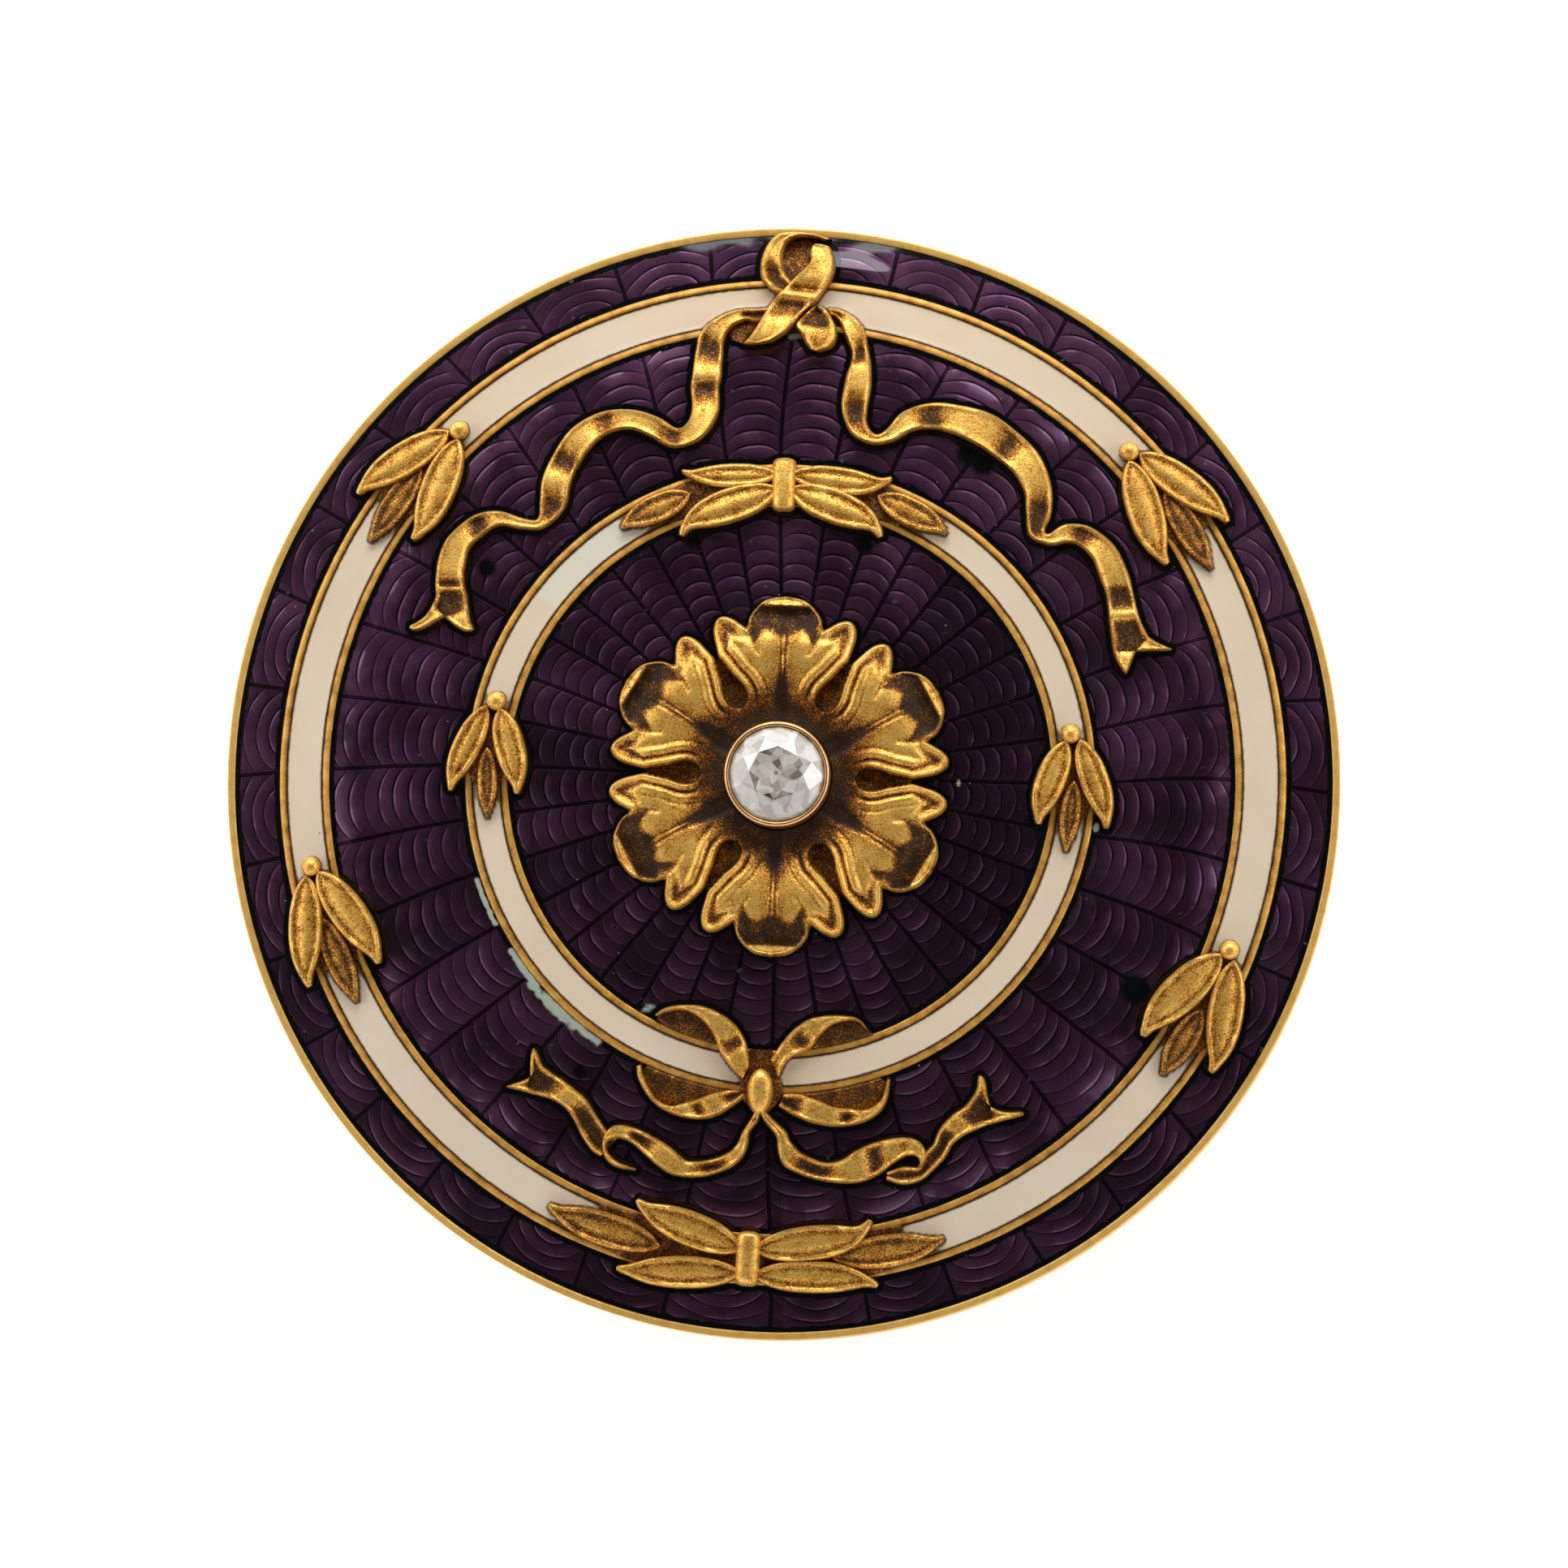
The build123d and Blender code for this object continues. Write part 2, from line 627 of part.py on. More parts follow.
def streamer(start_rows, rows, end_rows, notch_points):
    """Ribbon from the knot to its fishtail, in the open block."""
    stations = edge_stations(start_rows, ribbon_height)
    stations += ribbon_stations(rows, ribbon_height)
    stations += edge_stations(end_rows, ribbon_height)
    add(raised_band(stations, ribbon_profile, 0))
    notch(notch_points)


def notch(points):
    """Cut the fishtail out of a ribbon's end, through its tips and its notch."""
    first, apex, last = points
    beyond = [(2 * end[0] - apex[0], 2 * end[1] - apex[1]) for end in (last, first)]
    with BuildSketch(Plane.XY) as wedge:
        with BuildLine() as outline:
            Polyline(apex, *beyond, close=True)
        make_face(outline.edges())
    extrude(wedge.sketch, amount=dome_centre + 2 * dome_radius, mode=Mode.SUBTRACT)


def leaf(hoop, clock, sense, row, layer):
    """Dished laurel leaf with a raised rim, from its base to its pointed tip."""
    base_along, base_out, tip_along, tip_out, width_share, height_share, bend = row
    base = hoop_place(hoop, clock, sense * base_along, base_out)
    end = hoop_place(hoop, clock, sense * tip_along, tip_out)
    run = (end[0] - base[0], end[1] - base[1])
    stations = []
    for length_share, section_width, section_height in leaf_sections:
        sag = 4 * sense * bend * length_share * (1 - length_share)
        place = (
            base[0] + run[0] * length_share - run[1] * sag,
            base[1] + run[1] * length_share + run[0] * sag,
        )
        width = section_width * width_share * hoop[1]
        stations.append((place, width, section_height * height_share * leaf_height))
    return raised_band(stations, leaf_profile, layer)


def leaves(hoop, clock, sense, rows):
    """All leaves of a spray, the first row lowest."""
    return [leaf(hoop, clock, sense, row, layer) for layer, row in enumerate(rows, 1)]


def bead(place):
    """Round bead that stands in the web below it."""
    centre = dome_point(place, seat_gap + overlay_step + bead_diameter / 2)
    with Locations(centre):
        Sphere(bead_diameter / 2)


def finish(piece, name):
    """Name a finished piece and write its file."""
    piece.part.label = name
    export_step(piece.part, f"parts/{name}.step")


os.makedirs("parts", exist_ok=True)

# The gap of the inner cream hoop at the bow, in degrees either side of its bead
bow_gap = degrees(bow_gap_share * inner_hoop_width / inner_hoop[0])

# Gold plate with its rim, foot, borders and the rosette's seat
with BuildPart() as back_plate:
    with BuildSketch(Plane.XZ) as plate_profile:
        ring_section(0.0, face_radius, plate_under, enamel_floor)
        ring_section(0.0, seat_radius, plate_under, 0.0)
        for border_inner in (outer_hoop_outer, field_outer):
            ring_section(border_inner, border_inner + border_width, plate_under, 0.0)
        ring_section(centre_outer, field_inner, plate_under, 0.0)
        with Locations((brooch_radius, 0)):
            Rectangle(foot_width, foot_height, align=(Align.MAX, Align.MIN))
            Rectangle(rim_width, rim_height, align=(Align.MAX, Align.MIN))
        rim_corners = plate_profile.vertices().group_by(Axis.X)[-1]
        fillet(rim_corners.sort_by(Axis.Y)[-1], rim_rounding)
    revolve(axis=Axis.Z)
    ring_sector(
        inner_hoop_inner,
        inner_hoop_outer,
        enamel_floor,
        enamel_depth,
        bow_clock + bow_gap - 360,
        bow_clock - bow_gap,
        mode=Mode.SUBTRACT,
    )
    with Locations((0, 0, dome_height(0.0))):
        Hole(light_hole_diameter / 2)
finish(back_plate, "back_plate")

# Purple enamel, one ring in each recess of the plate
enamel_rings = [
    ("enamel_border", outer_hoop_outer + border_width, face_radius),
    ("enamel_field", field_inner, field_outer),
    ("enamel_centre", seat_radius, centre_outer),
    ("cream_hoop_outer", outer_hoop_inner, outer_hoop_outer),
]
for name, ring_inner, ring_outer in enamel_rings:
    with BuildPart() as enamel:
        with BuildSketch(Plane.XZ):
            ring_section(
                ring_inner + enamel_gap, ring_outer - enamel_gap, enamel_floor + enamel_gap, enamel_top
            )
        revolve(axis=Axis.Z)
    finish(enamel, name)

# The inner cream hoop stops on both sides of the bow
hoop_gap = bow_gap + degrees(enamel_gap / inner_hoop_inner)
with BuildPart() as cream_hoop_inner:
    ring_sector(
        inner_hoop_inner + enamel_gap,
        inner_hoop_outer - enamel_gap,
        enamel_floor + enamel_gap,
        enamel_top,
        bow_clock + hoop_gap - 360,
        bow_clock - hoop_gap,
    )
finish(cream_hoop_inner, "cream_hoop_inner")

# The knot at the rim: a loop, the strap over it, a short lobe and their ground
with BuildPart() as ribbon_knot:
    ring_sector(
        outer_hoop_inner, face_radius, seat_gap, seat_gap + web_height, *knot_web_clock
    )
    knot_rows = (knot_loop_rows, knot_lobe_rows, knot_strap_rows)
    add([edge_band(rows, knot_height, layer) for layer, rows in enumerate(knot_rows, 1)])
finish(ribbon_knot, "ribbon_knot")

# The two streamers below the knot
with BuildPart() as ribbon_left:
    streamer(left_ribbon_start, left_ribbon_rows, left_ribbon_end, left_ribbon_notch)
finish(ribbon_left, "ribbon_left")

with BuildPart() as ribbon_right:
    streamer(right_ribbon_start, right_ribbon_rows, right_ribbon_end, right_ribbon_notch)
finish(ribbon_right, "ribbon_right")

# Laurel sprays that hang from a bead
for name, hoop, bead_clock, sense, leaf_rows in beaded_sprays:
    border_share = 0.5 + border_width / hoop[1]
    with BuildPart() as spray:
        web_from, web_to = [sense * reach for reach in beaded_web_reach]
        hoop_sector(hoop, bead_clock, web_from, web_to, -border_share, border_share, web_height)
        add(leaves(hoop, bead_clock, sense, leaf_rows))
        bead(hoop_place(hoop, bead_clock, 0.0, 0.0))
    finish(spray, name)

# Laurel sprays bound in the middle by a tie
for name, hoop, tie_clock, sense, leaf_rows, web_reach in tied_sprays:
    border_share = 0.5 + border_width / hoop[1]
    with BuildPart() as spray:
        hoop_sector(hoop, tie_clock, -web_reach, web_reach, -border_share, border_share, web_height)
        add(leaves(hoop, tie_clock, sense, leaf_rows))
        tie_half = tie_length / 2 / hoop[1]
        tie_stations = []
        for out, width_share, height_share in tie_rows:
            place = hoop_place(hoop, tie_clock, 0.0, out * tie_half)
            tie_stations.append((place, width_share * tie_width, height_share * tie_height))
        add(raised_band(tie_stations, round_profile, len(leaf_rows) + 1))
    finish(spray, name)

# The bow: four loops, the dark ground inside them and the bead that ties it
with BuildPart() as bow:
    for along_from, along_to, out_from, out_to in bow_grounds:
        hoop_sector(inner_hoop, bow_clock, along_from, along_to, out_from, out_to, web_height)
    for layer, rows in enumerate(bow_loops, 1):
        add(edge_band(rows, ribbon_height, layer))
    bead_stations = []
    for out, width_share, height_share in bow_bead_rows:
        bead_out = bow_bead_out + out * bow_bead_length / 2 / inner_hoop_width
        place = hoop_place(inner_hoop, bow_clock, 0.0, bead_out)
        bead_stations.append((place, width_share * bow_bead_width, height_share * bow_bead_height))
    add(raised_band(bead_stations, round_profile, len(bow_loops) + 1))
finish(bow, "bow")

# The bow's tails: each curls back on itself, and its end hangs from the curl
tails = [
    ("bow_tail_left", left_tail_rows, left_tail_end_rows, left_tail_notch),
    ("bow_tail_right", right_tail_rows, right_tail_end_rows, right_tail_notch),
]
for name, tail_rows, end_rows, notch_points in tails:
    with BuildPart() as tail:
        add(edge_band(end_rows, ribbon_height, 0))
        notch(notch_points)
        add(edge_band(tail_rows, ribbon_height, 1))
    finish(tail, name)


def petal_place(petal, turn, share):
    """Place on the rosette beside the axis of one petal."""
    clock = rosette_turn + petal * 360 / petal_count + turn
    return clock_place(clock, share * rosette_radius)


def petal_band(petal, rows, side, layer):
    """Raised rim, lip or vein on one petal, on one side of its axis."""
    stations = []
    for turn, share, width_share, height_share in rows:
        place = petal_place(petal, side * turn, share)
        stations.append((place, width_share * petal_rim_width, height_share * rosette_height))
    return raised_band(stations, round_profile, layer)


# The rosette: a dished body cut to the outline of its petals, then their rims
hole_radius = collet_radius + collet_gap
with BuildPart() as rosette:
    with BuildSketch(Plane.XZ):
        with BuildLine() as rosette_section:
            upper, lower = [], []
            for share, rise in rosette_profile:
                radius = share * rosette_radius
                upper.append((radius, dome_height(radius, seat_gap + rise * rosette_height)))
                lower.append((radius, dome_height(radius, seat_gap)))
            Polyline(*upper, *reversed(lower), close=True)
        make_face(rosette_section.edges())
    revolve(axis=Axis.Z)
    with BuildSketch(Plane.XY) as petals:
        for petal in range(petal_count):
            half = [petal_place(petal, turn, share) for turn, share in petal_outline]
            other = [petal_place(petal, -turn, share) for turn, share in petal_outline[1:]]
            with BuildLine() as petal_edge:
                Polyline((0, 0), *reversed(other), *half, close=True)
            make_face(petal_edge.edges())
        Circle(rosette_radius * petal_outline[-1][1])
        for petal in range(petal_count):
            near = [petal_place(petal, turn, share) for turn, share in eye_outline]
            far = [petal_place(petal + 1, -turn, share) for turn, share in eye_outline[:-1]]
            with BuildLine() as eye_edge:
                Polyline(*near, *reversed(far), close=True)
            make_face(eye_edge.edges(), mode=Mode.SUBTRACT)
    extrude(petals.sketch, amount=dome_centre + 2 * dome_radius, mode=Mode.INTERSECT)
    ring_sector(
        rosette_profile[0][0] * rosette_radius,
        petal_outline[-1][1] * rosette_radius,
        seat_gap,
        seat_gap + petal_floor,
        0,
        360,
    )
    for petal in range(petal_count):
        add(
            [
                petal_band(petal, petal_lip_rows, 1, 1),
                petal_band(petal, petal_vein_rows, 1, 2),
                petal_band(petal, petal_rim_rows, 1, 3),
                petal_band(petal, petal_rim_rows, -1, 4),
            ]
        )
    with Locations((0, 0, dome_height(0.0) + rosette_height)):
        Hole(hole_radius)
finish(rosette, "rosette")

# The collet, a plain tube with a seat for the girdle and a lip over it
seat_height = dome_height(collet_radius, seat_gap)
collet_top = dome_height(0.0) + collet_height
girdle_radius = stone_radius + stone_gap
girdle_top = collet_top - collet_lip - stone_gap
girdle_bottom = girdle_top - girdle_thickness
bore_radius = collet_radius - collet_wall
ledge_height = girdle_bottom - (girdle_radius - bore_radius) * tan(radians(pavilion_angle)) - stone_gap
with BuildPart() as collet:
    with BuildSketch(Plane.XZ):
        with BuildLine() as collet_section:
            Polyline(
                (bore_radius, seat_height),
                (collet_radius, seat_height),
                (collet_radius, collet_top - collet_lip),
                (collet_radius - collet_lip, collet_top),
                (girdle_radius - collet_lip * 0.5, collet_top),
                (girdle_radius, girdle_top + stone_gap),
                (girdle_radius, girdle_bottom - stone_gap),
                (bore_radius, ledge_height - stone_gap),
                close=True,
            )
        make_face(collet_section.edges())
    revolve(axis=Axis.Z)
finish(collet, "collet")

# The stone: a cylinder cut down by its facets
crown_height = stone_radius * (1 - table_share) * tan(radians(crown_angle))
pavilion_depth = stone_radius * (1 - culet_share) * tan(radians(pavilion_angle))


def facet_plane(turn, slope, radius, height):
    """Plane of a facet that slopes outwards at a turn, through a radius and a height."""
    outwards = Vector(cos(radians(turn)), sin(radians(turn)), 0)
    normal = outwards * sin(radians(slope)) + Vector(0, 0, cos(radians(slope)))
    return Plane(origin=outwards * radius + Vector(0, 0, height), z_dir=normal)


def cut_facets(ring, slope, radius, height):
    """Cut a ring of equal facets off the stone."""
    count, first_turn = ring
    for index in range(count):
        turn = first_turn + index * 360 / count
        split(bisect_by=facet_plane(turn, slope, radius, height), keep=Keep.BOTTOM)


table_height = girdle_top + crown_height
table_middle = stone_radius * table_share * cos(radians(crown_stars[1]))
pair_radius = stone_radius * cos(radians(girdle_pairs[1]))
with BuildPart() as diamond:
    with Locations((0, 0, girdle_bottom - pavilion_depth)):
        Cylinder(
            stone_radius,
            table_height - girdle_bottom + pavilion_depth,
            align=(Align.CENTER, Align.CENTER, Align.MIN),
        )
    cut_facets(crown_mains, crown_angle, stone_radius, girdle_top)
    cut_facets(crown_stars, crown_angle * star_slope, table_middle, table_height)
    cut_facets(girdle_pairs, crown_angle * girdle_slope, pair_radius, girdle_top)
    cut_facets(crown_mains, 180 - pavilion_angle, stone_radius, girdle_bottom)
    cut_facets(girdle_pairs, 180 - pavilion_angle * pavilion_pair_slope, pair_radius, girdle_bottom)
finish(diamond, "diamond")

# The pin: stem, hinge and catch as one plain piece inside the hollow back
wire_radius = pin_wire_diameter / 2
wire_height = pin_clearance + knuckle_diameter / 2
hinge_x = -pin_span / 2
catch_x = pin_span / 2
hinge_top = dome_height(hypot(hinge_x - knuckle_diameter / 2, knuckle_width / 2), plate_under) - pin_gap
catch_top = dome_height(hypot(catch_x + catch_width / 2, catch_foot_width / 2), plate_under) - pin_gap
with BuildPart() as pin:
    with BuildSketch(Plane.YZ.offset(hinge_x)):
        with Locations((0, wire_height)):
            Circle(wire_radius)
    extrude(amount=pin_span + pin_overshoot - pin_point_length)
    with Locations(Plane.YZ.offset(catch_x + pin_overshoot - pin_point_length)):
        with Locations((0, wire_height, 0)):
            Cone(
                wire_radius,
                wire_radius / 4,
                pin_point_length,
                align=(Align.CENTER, Align.CENTER, Align.MIN),
            )
    with BuildSketch(Plane.XZ.offset(-knuckle_width / 2)):
        with Locations((hinge_x, wire_height)):
            Circle(knuckle_diameter / 2)
            Rectangle(knuckle_diameter, hinge_top - wire_height, align=(Align.CENTER, Align.MIN))
    extrude(amount=knuckle_width)
    with BuildSketch(Plane.YZ.offset(catch_x - catch_width / 2)):
        with Locations((0, wire_height)):
            Circle(catch_diameter / 2)
            Rectangle(catch_foot_width, catch_top - wire_height, align=(Align.CENTER, Align.MIN))
            Rectangle(
                catch_diameter,
                pin_wire_diameter,
                align=(Align.MAX, Align.CENTER),
                mode=Mode.SUBTRACT,
            )
            Circle(wire_radius)
    extrude(amount=catch_width)
finish(pin, "pin")
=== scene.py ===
from math import cos, degrees, hypot, pi, radians, sin

import bmesh
import bpy
import numpy as np
from mathutils import Matrix, Vector
from mathutils.bvhtree import BVHTree


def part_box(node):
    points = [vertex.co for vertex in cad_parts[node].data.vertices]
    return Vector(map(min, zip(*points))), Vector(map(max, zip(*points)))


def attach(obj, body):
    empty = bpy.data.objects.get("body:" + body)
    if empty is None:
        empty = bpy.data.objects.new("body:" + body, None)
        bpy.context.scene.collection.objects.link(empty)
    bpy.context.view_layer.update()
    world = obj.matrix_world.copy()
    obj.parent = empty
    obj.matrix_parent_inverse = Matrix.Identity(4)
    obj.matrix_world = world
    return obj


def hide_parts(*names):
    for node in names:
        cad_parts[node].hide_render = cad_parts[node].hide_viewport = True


# A domed gold brooch with purple and cream enamel, cast gold ribbons, laurel
# sprays and a rosette round one diamond. Lengths are metres, +Z comes out of the
# face and +Y points to the ribbon knot. Clock angles are degrees from the knot.
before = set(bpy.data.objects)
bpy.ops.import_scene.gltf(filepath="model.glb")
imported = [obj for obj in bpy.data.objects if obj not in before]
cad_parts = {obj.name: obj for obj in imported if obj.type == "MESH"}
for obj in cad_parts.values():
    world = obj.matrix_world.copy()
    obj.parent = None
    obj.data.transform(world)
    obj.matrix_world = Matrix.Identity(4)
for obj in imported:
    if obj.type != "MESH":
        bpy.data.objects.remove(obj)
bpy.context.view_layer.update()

mm = 0.001

# Sizes of the plate, as in the part's source
brooch_radius = 20.0 * mm
rim_width = 0.28 * mm
rim_height = 1.8 * mm
foot_width = 0.9 * mm
foot_height = 0.5 * mm
edge_round = 0.06 * mm
dome_rise = 3.0 * mm
plate_thickness = 0.8 * mm
border_width = 0.27 * mm
border_proud = 0.04 * mm
enamel_depth = 0.45 * mm
piece_gap = 0.02 * mm
outer_band_width = 1.65 * mm
outer_hoop_width = 1.29 * mm
field_width = 4.96 * mm
inner_hoop_width = 1.01 * mm

# Radii that follow, from the rim inwards
face_radius = brooch_radius - rim_width
outer_hoop_outer = face_radius - outer_band_width - border_width
outer_hoop_inner = outer_hoop_outer - outer_hoop_width
field_outer = outer_hoop_inner - border_width
field_inner = field_outer - field_width
inner_hoop_outer = field_inner - border_width
inner_hoop_inner = inner_hoop_outer - inner_hoop_width
centre_outer = inner_hoop_inner - border_width
outer_hoop = ((outer_hoop_inner + outer_hoop_outer) / 2, outer_hoop_width)
inner_hoop = ((inner_hoop_inner + inner_hoop_outer) / 2, inner_hoop_width)

# The dome is part of a sphere through the inner edge of the rim
dome_radius = (face_radius**2 + dome_rise**2) / (2 * dome_rise)
dome_centre = rim_height + dome_rise - dome_radius
enamel_top = -border_proud
enamel_floor = -border_proud - enamel_depth
plate_under = enamel_floor - plate_thickness
relief_sink = 0.05 * mm
relief_foot = enamel_top - relief_sink

# Raised gold
ribbon_width = 1.0 * mm
ribbon_height = 0.62 * mm
knot_height = 0.97 * mm
leaf_height = 0.64 * mm
leaf_dish = 0.10 * mm
web_height = 0.18 * mm
bead_radius = 0.35 * mm
# A bead's middle over its foot in radii, and its arc from the top in radians
bead_stand = 1.15
bead_crown = 0.02
bead_foot = 0.62 * pi
tie_width = 0.90 * mm
tie_length = 1.95 * mm
tie_height = 0.82 * mm
bow_bead_width = 0.94 * mm
bow_bead_length = 1.64 * mm
bow_bead_height = 0.72 * mm

# Rosette, collet and pin
rosette_radius = 6.45 * mm
rosette_height = 1.15 * mm
rosette_turn = 2.5
eye_floor_lift = 0.16 * mm
petal_count = 6
seat_radius = 2.7 * mm
light_hole_radius = 1.0 * mm
collet_radius = 1.89 * mm
collet_height = 1.5 * mm
collet_lip = 0.12 * mm
collet_wall = 0.32 * mm
stone_radius = 1.73 * mm
pin_span = 24.0 * mm
pin_overshoot = 2.0 * mm
pin_point_length = 2.4 * mm
pin_wire_radius = 0.4 * mm
pin_axis_height = 1.05 * mm
knuckle_radius = 0.75 * mm
knuckle_width = 3.2 * mm
catch_width = 1.5 * mm
catch_foot_width = 0.8 * mm

# A gold border from its purple to its cream side: share of its width, how far
# its face drops in mm, patina
border_rows = [
    (0, 0.05, 0.65), (0.06, 0.02, 0.38), (0.25, 0, 0.22), (0.6, 0, 0.26),
    (0.84, 0.012, 0.55), (0.94, 0.03, 0.8), (1, 0.06, 0.95),
]

# Columns: clock angle, share of the field from its inner to its outer edge,
# width and height as shares of the ribbon's. A low row is a dark dip
left_ribbon_rows = [
    (-10.9, 0.62, 1.05, 0.62), (-11.6, 0.44, 0.99, 0.85), (-13.9, 0.32, 0.82, 1),
    (-17.1, 0.31, 0.76, 0.65), (-19.7, 0.44, 0.79, 0.8), (-22.5, 0.55, 0.76, 0.95),
    (-26.2, 0.61, 0.88, 0.65), (-30.3, 0.59, 1.05, 1), (-34, 0.51, 1.05, 0.62),
    (-37, 0.42, 1.08, 0.9), (-39.6, 0.31, 0.99, 0.6), (-43, 0.26, 0.45, 0.8),
    (-45.1, 0.35, 0.42, 0.85), (-47.1, 0.51, 0.58, 0.85), (-50, 0.59, 0.88, 0.62),
]
right_ribbon_rows = [
    (11.1, 0.62, 0.99, 0.9), (11.3, 0.46, 0.96, 0.6), (12.7, 0.32, 0.7, 0.7),
    (15.5, 0.27, 0.42, 0.8), (17.7, 0.33, 0.53, 0.85), (19.6, 0.47, 0.82, 0.9),
    (22.6, 0.57, 0.99, 0.58), (26.1, 0.62, 1.11, 0.95), (30.1, 0.65, 1.28, 1),
    (34.3, 0.64, 1.23, 0.65), (38.1, 0.61, 1.17, 0.95), (41.7, 0.52, 1.02, 0.85),
    (44.2, 0.4, 0.93, 0.55), (46.3, 0.29, 0.64, 0.6), (48.4, 0.32, 0.46, 0.85),
    (49.4, 0.44, 0.7, 0.8), (51.4, 0.53, 0.82, 0.6), (55, 0.57, 0.96, 0.95), (58.8, 0.54, 1.05, 1),
]
# Pieces whose outline is measured at both edges. Columns: x and y of one edge,
# x and y of the other, in mm from the middle, and height as a share
left_ribbon_start = [
    (-0.42, 17.06, -0.61, 16.48, 0.6), (-0.85, 17.01, -1, 16.47, 0.6),
    (-1.32, 17.01, -1.24, 16.53, 0.62), (-1.79, 16.92, -1.55, 16.41, 0.95),
    (-2.27, 16.71, -1.81, 16.23, 1), (-2.7, 16.39, -1.98, 15.95, 0.92),
    (-2.97, 16.03, -2.06, 15.63, 0.66), (-3.07, 15.51, -2.07, 15.27, 0.62),
    (-3.14, 15.03, -2.09, 14.91, 0.78), (-3.19, 14.55, -2.11, 14.51, 1),
]
left_ribbon_end = [
    (-11.83, 8.92, -11.12, 8.33, 1), (-12.16, 8.42, -11.24, 7.97, 1),
    (-12.34, 7.81, -11.3, 7.62, 0.97), (-12.38, 7.45, -11.34, 7.44, 0.95),
    (-12.4, 7.06, -11.32, 7.04, 0.62), (-12.39, 6.87, -11.28, 6.85, 0.85),
    (-12.38, 6.63, -11.22, 6.61, 0.55),
]
right_ribbon_start = [
    (1.67, 17.01, 1.79, 16.71, 0.62), (2.06, 16.97, 1.99, 16.59, 0.62),
    (2.46, 16.79, 2.15, 16.35, 0.78), (2.8, 16.51, 2.25, 16.07, 1),
    (3.01, 16.19, 2.39, 15.71, 0.95), (3.12, 15.67, 2.53, 15.35, 0.66),
    (3.2, 15.19, 2.5, 14.99, 0.66), (3.26, 14.79, 2.38, 14.63, 1),
]
right_ribbon_end = [
    (11.61, 6.66, 12.63, 6.67, 0.6), (11.69, 6.19, 12.73, 6.2, 0.62),
    (11.74, 5.79, 12.83, 5.83, 0.9), (11.77, 5.4, 12.97, 5.46, 0.58),
]
left_tail_rows = [
    (-0.88, -11.8, -0.66, -11.86, 0.6), (-1.05, -12.13, -0.76, -12.24, 0.66),
    (-1.36, -12.62, -1.06, -12.62, 0.85), (-1.56, -13.05, -1.16, -13.15, 0.9),
    (-1.9, -13.35, -1.47, -13.68, 0.85), (-2.47, -13.57, -2.11, -14.04, 0.58),
    (-3.21, -13.64, -2.95, -14.23, 0.75), (-3.55, -13.47, -3.82, -14.16, 0.95),
    (-3.95, -13.11, -4.35, -13.86, 1), (-4.48, -12.78, -4.82, -13.46, 0.7),
    (-5.08, -12.49, -5.29, -13.03, 0.62), (-5.69, -12.34, -5.72, -12.85, 0.95),
    (-6.09, -12.44, -6.01, -12.88, 0.95), (-6.35, -12.8, -6.2, -13.03, 0.9),
    (-6.38, -13.26, -6.18, -13.26, 0.9), (-6.2, -13.65, -6, -13.49, 0.85),
    (-5.77, -13.89, -5.73, -13.69, 0.75), (-5.2, -13.98, -5.16, -13.89, 0.6),
]
left_tail_end_rows = [
    (-6.45, -13.47, -5.77, -12.76, 0.5), (-6.76, -13.26, -6.13, -12.6, 0.5),
    (-7.12, -12.75, -6.44, -12.19, 0.5), (-7.43, -12.13, -6.65, -11.88, 0.6),
    (-7.69, -11.77, -6.9, -11.47, 0.9), (-8.05, -11.51, -7.27, -11.11, 1),
    (-8.47, -11.35, -7.73, -10.77, 0.8), (-8.88, -11.25, -8.15, -10.49, 0.58),
]
right_tail_rows = [
    (-0.55, -11.8, -0.76, -11.88, 0.6), (-0.28, -12.13, -0.58, -12.24, 0.66),
    (0.2, -12.58, -0.16, -12.79, 0.85), (0.37, -12.93, -0.09, -13.35, 0.9),
    (0.69, -13.31, 0.12, -13.83, 0.8), (1.14, -13.55, 0.71, -14.14, 0.58),
    (1.6, -13.69, 1.28, -14.32, 0.6), (2.13, -13.62, 2.05, -14.45, 0.8),
    (2.7, -13.27, 2.83, -14.42, 0.95), (3.26, -13.01, 3.47, -14.17, 0.62),
    (3.9, -12.85, 3.96, -13.82, 0.85), (4.47, -12.8, 4.39, -13.54, 0.75),
    (4.92, -12.93, 4.71, -13.48, 0.9), (5.18, -13.26, 4.9, -13.57, 0.95),
    (5.16, -13.64, 4.94, -13.73, 0.85), (5.01, -13.92, 4.88, -13.83, 0.7),
]
right_tail_end_rows = [
    (3.82, -14, 3.78, -14.34, 0.5), (4.39, -13.82, 4.38, -14.5, 0.5),
    (4.95, -13.82, 5.02, -14.34, 0.5), (5.17, -13.32, 5.44, -13.99, 0.5),
    (5.44, -13.03, 5.87, -13.55, 0.5), (5.59, -12.65, 6.15, -13.07, 0.6),
    (5.84, -12.29, 6.51, -12.78, 0.95), (6.18, -11.97, 6.9, -12.59, 0.9),
    (6.57, -11.71, 7.29, -12.42, 0.58),
]
# Where a ribbon's end forks: one corner, the notch and the other corner in mm
left_ribbon_fork = [(-12.47, 6.38), (-12.04, 5.84), (-11.17, 6.18)]
right_ribbon_fork = [(11.89, 4.50), (12.72, 4.52), (13.18, 5.07)]
left_tail_fork = [(-9.09, -11.18), (-8.96, -10.63), (-8.48, -10.25)]
right_tail_fork = [(6.93, -11.25), (7.49, -11.70), (7.63, -12.32)]
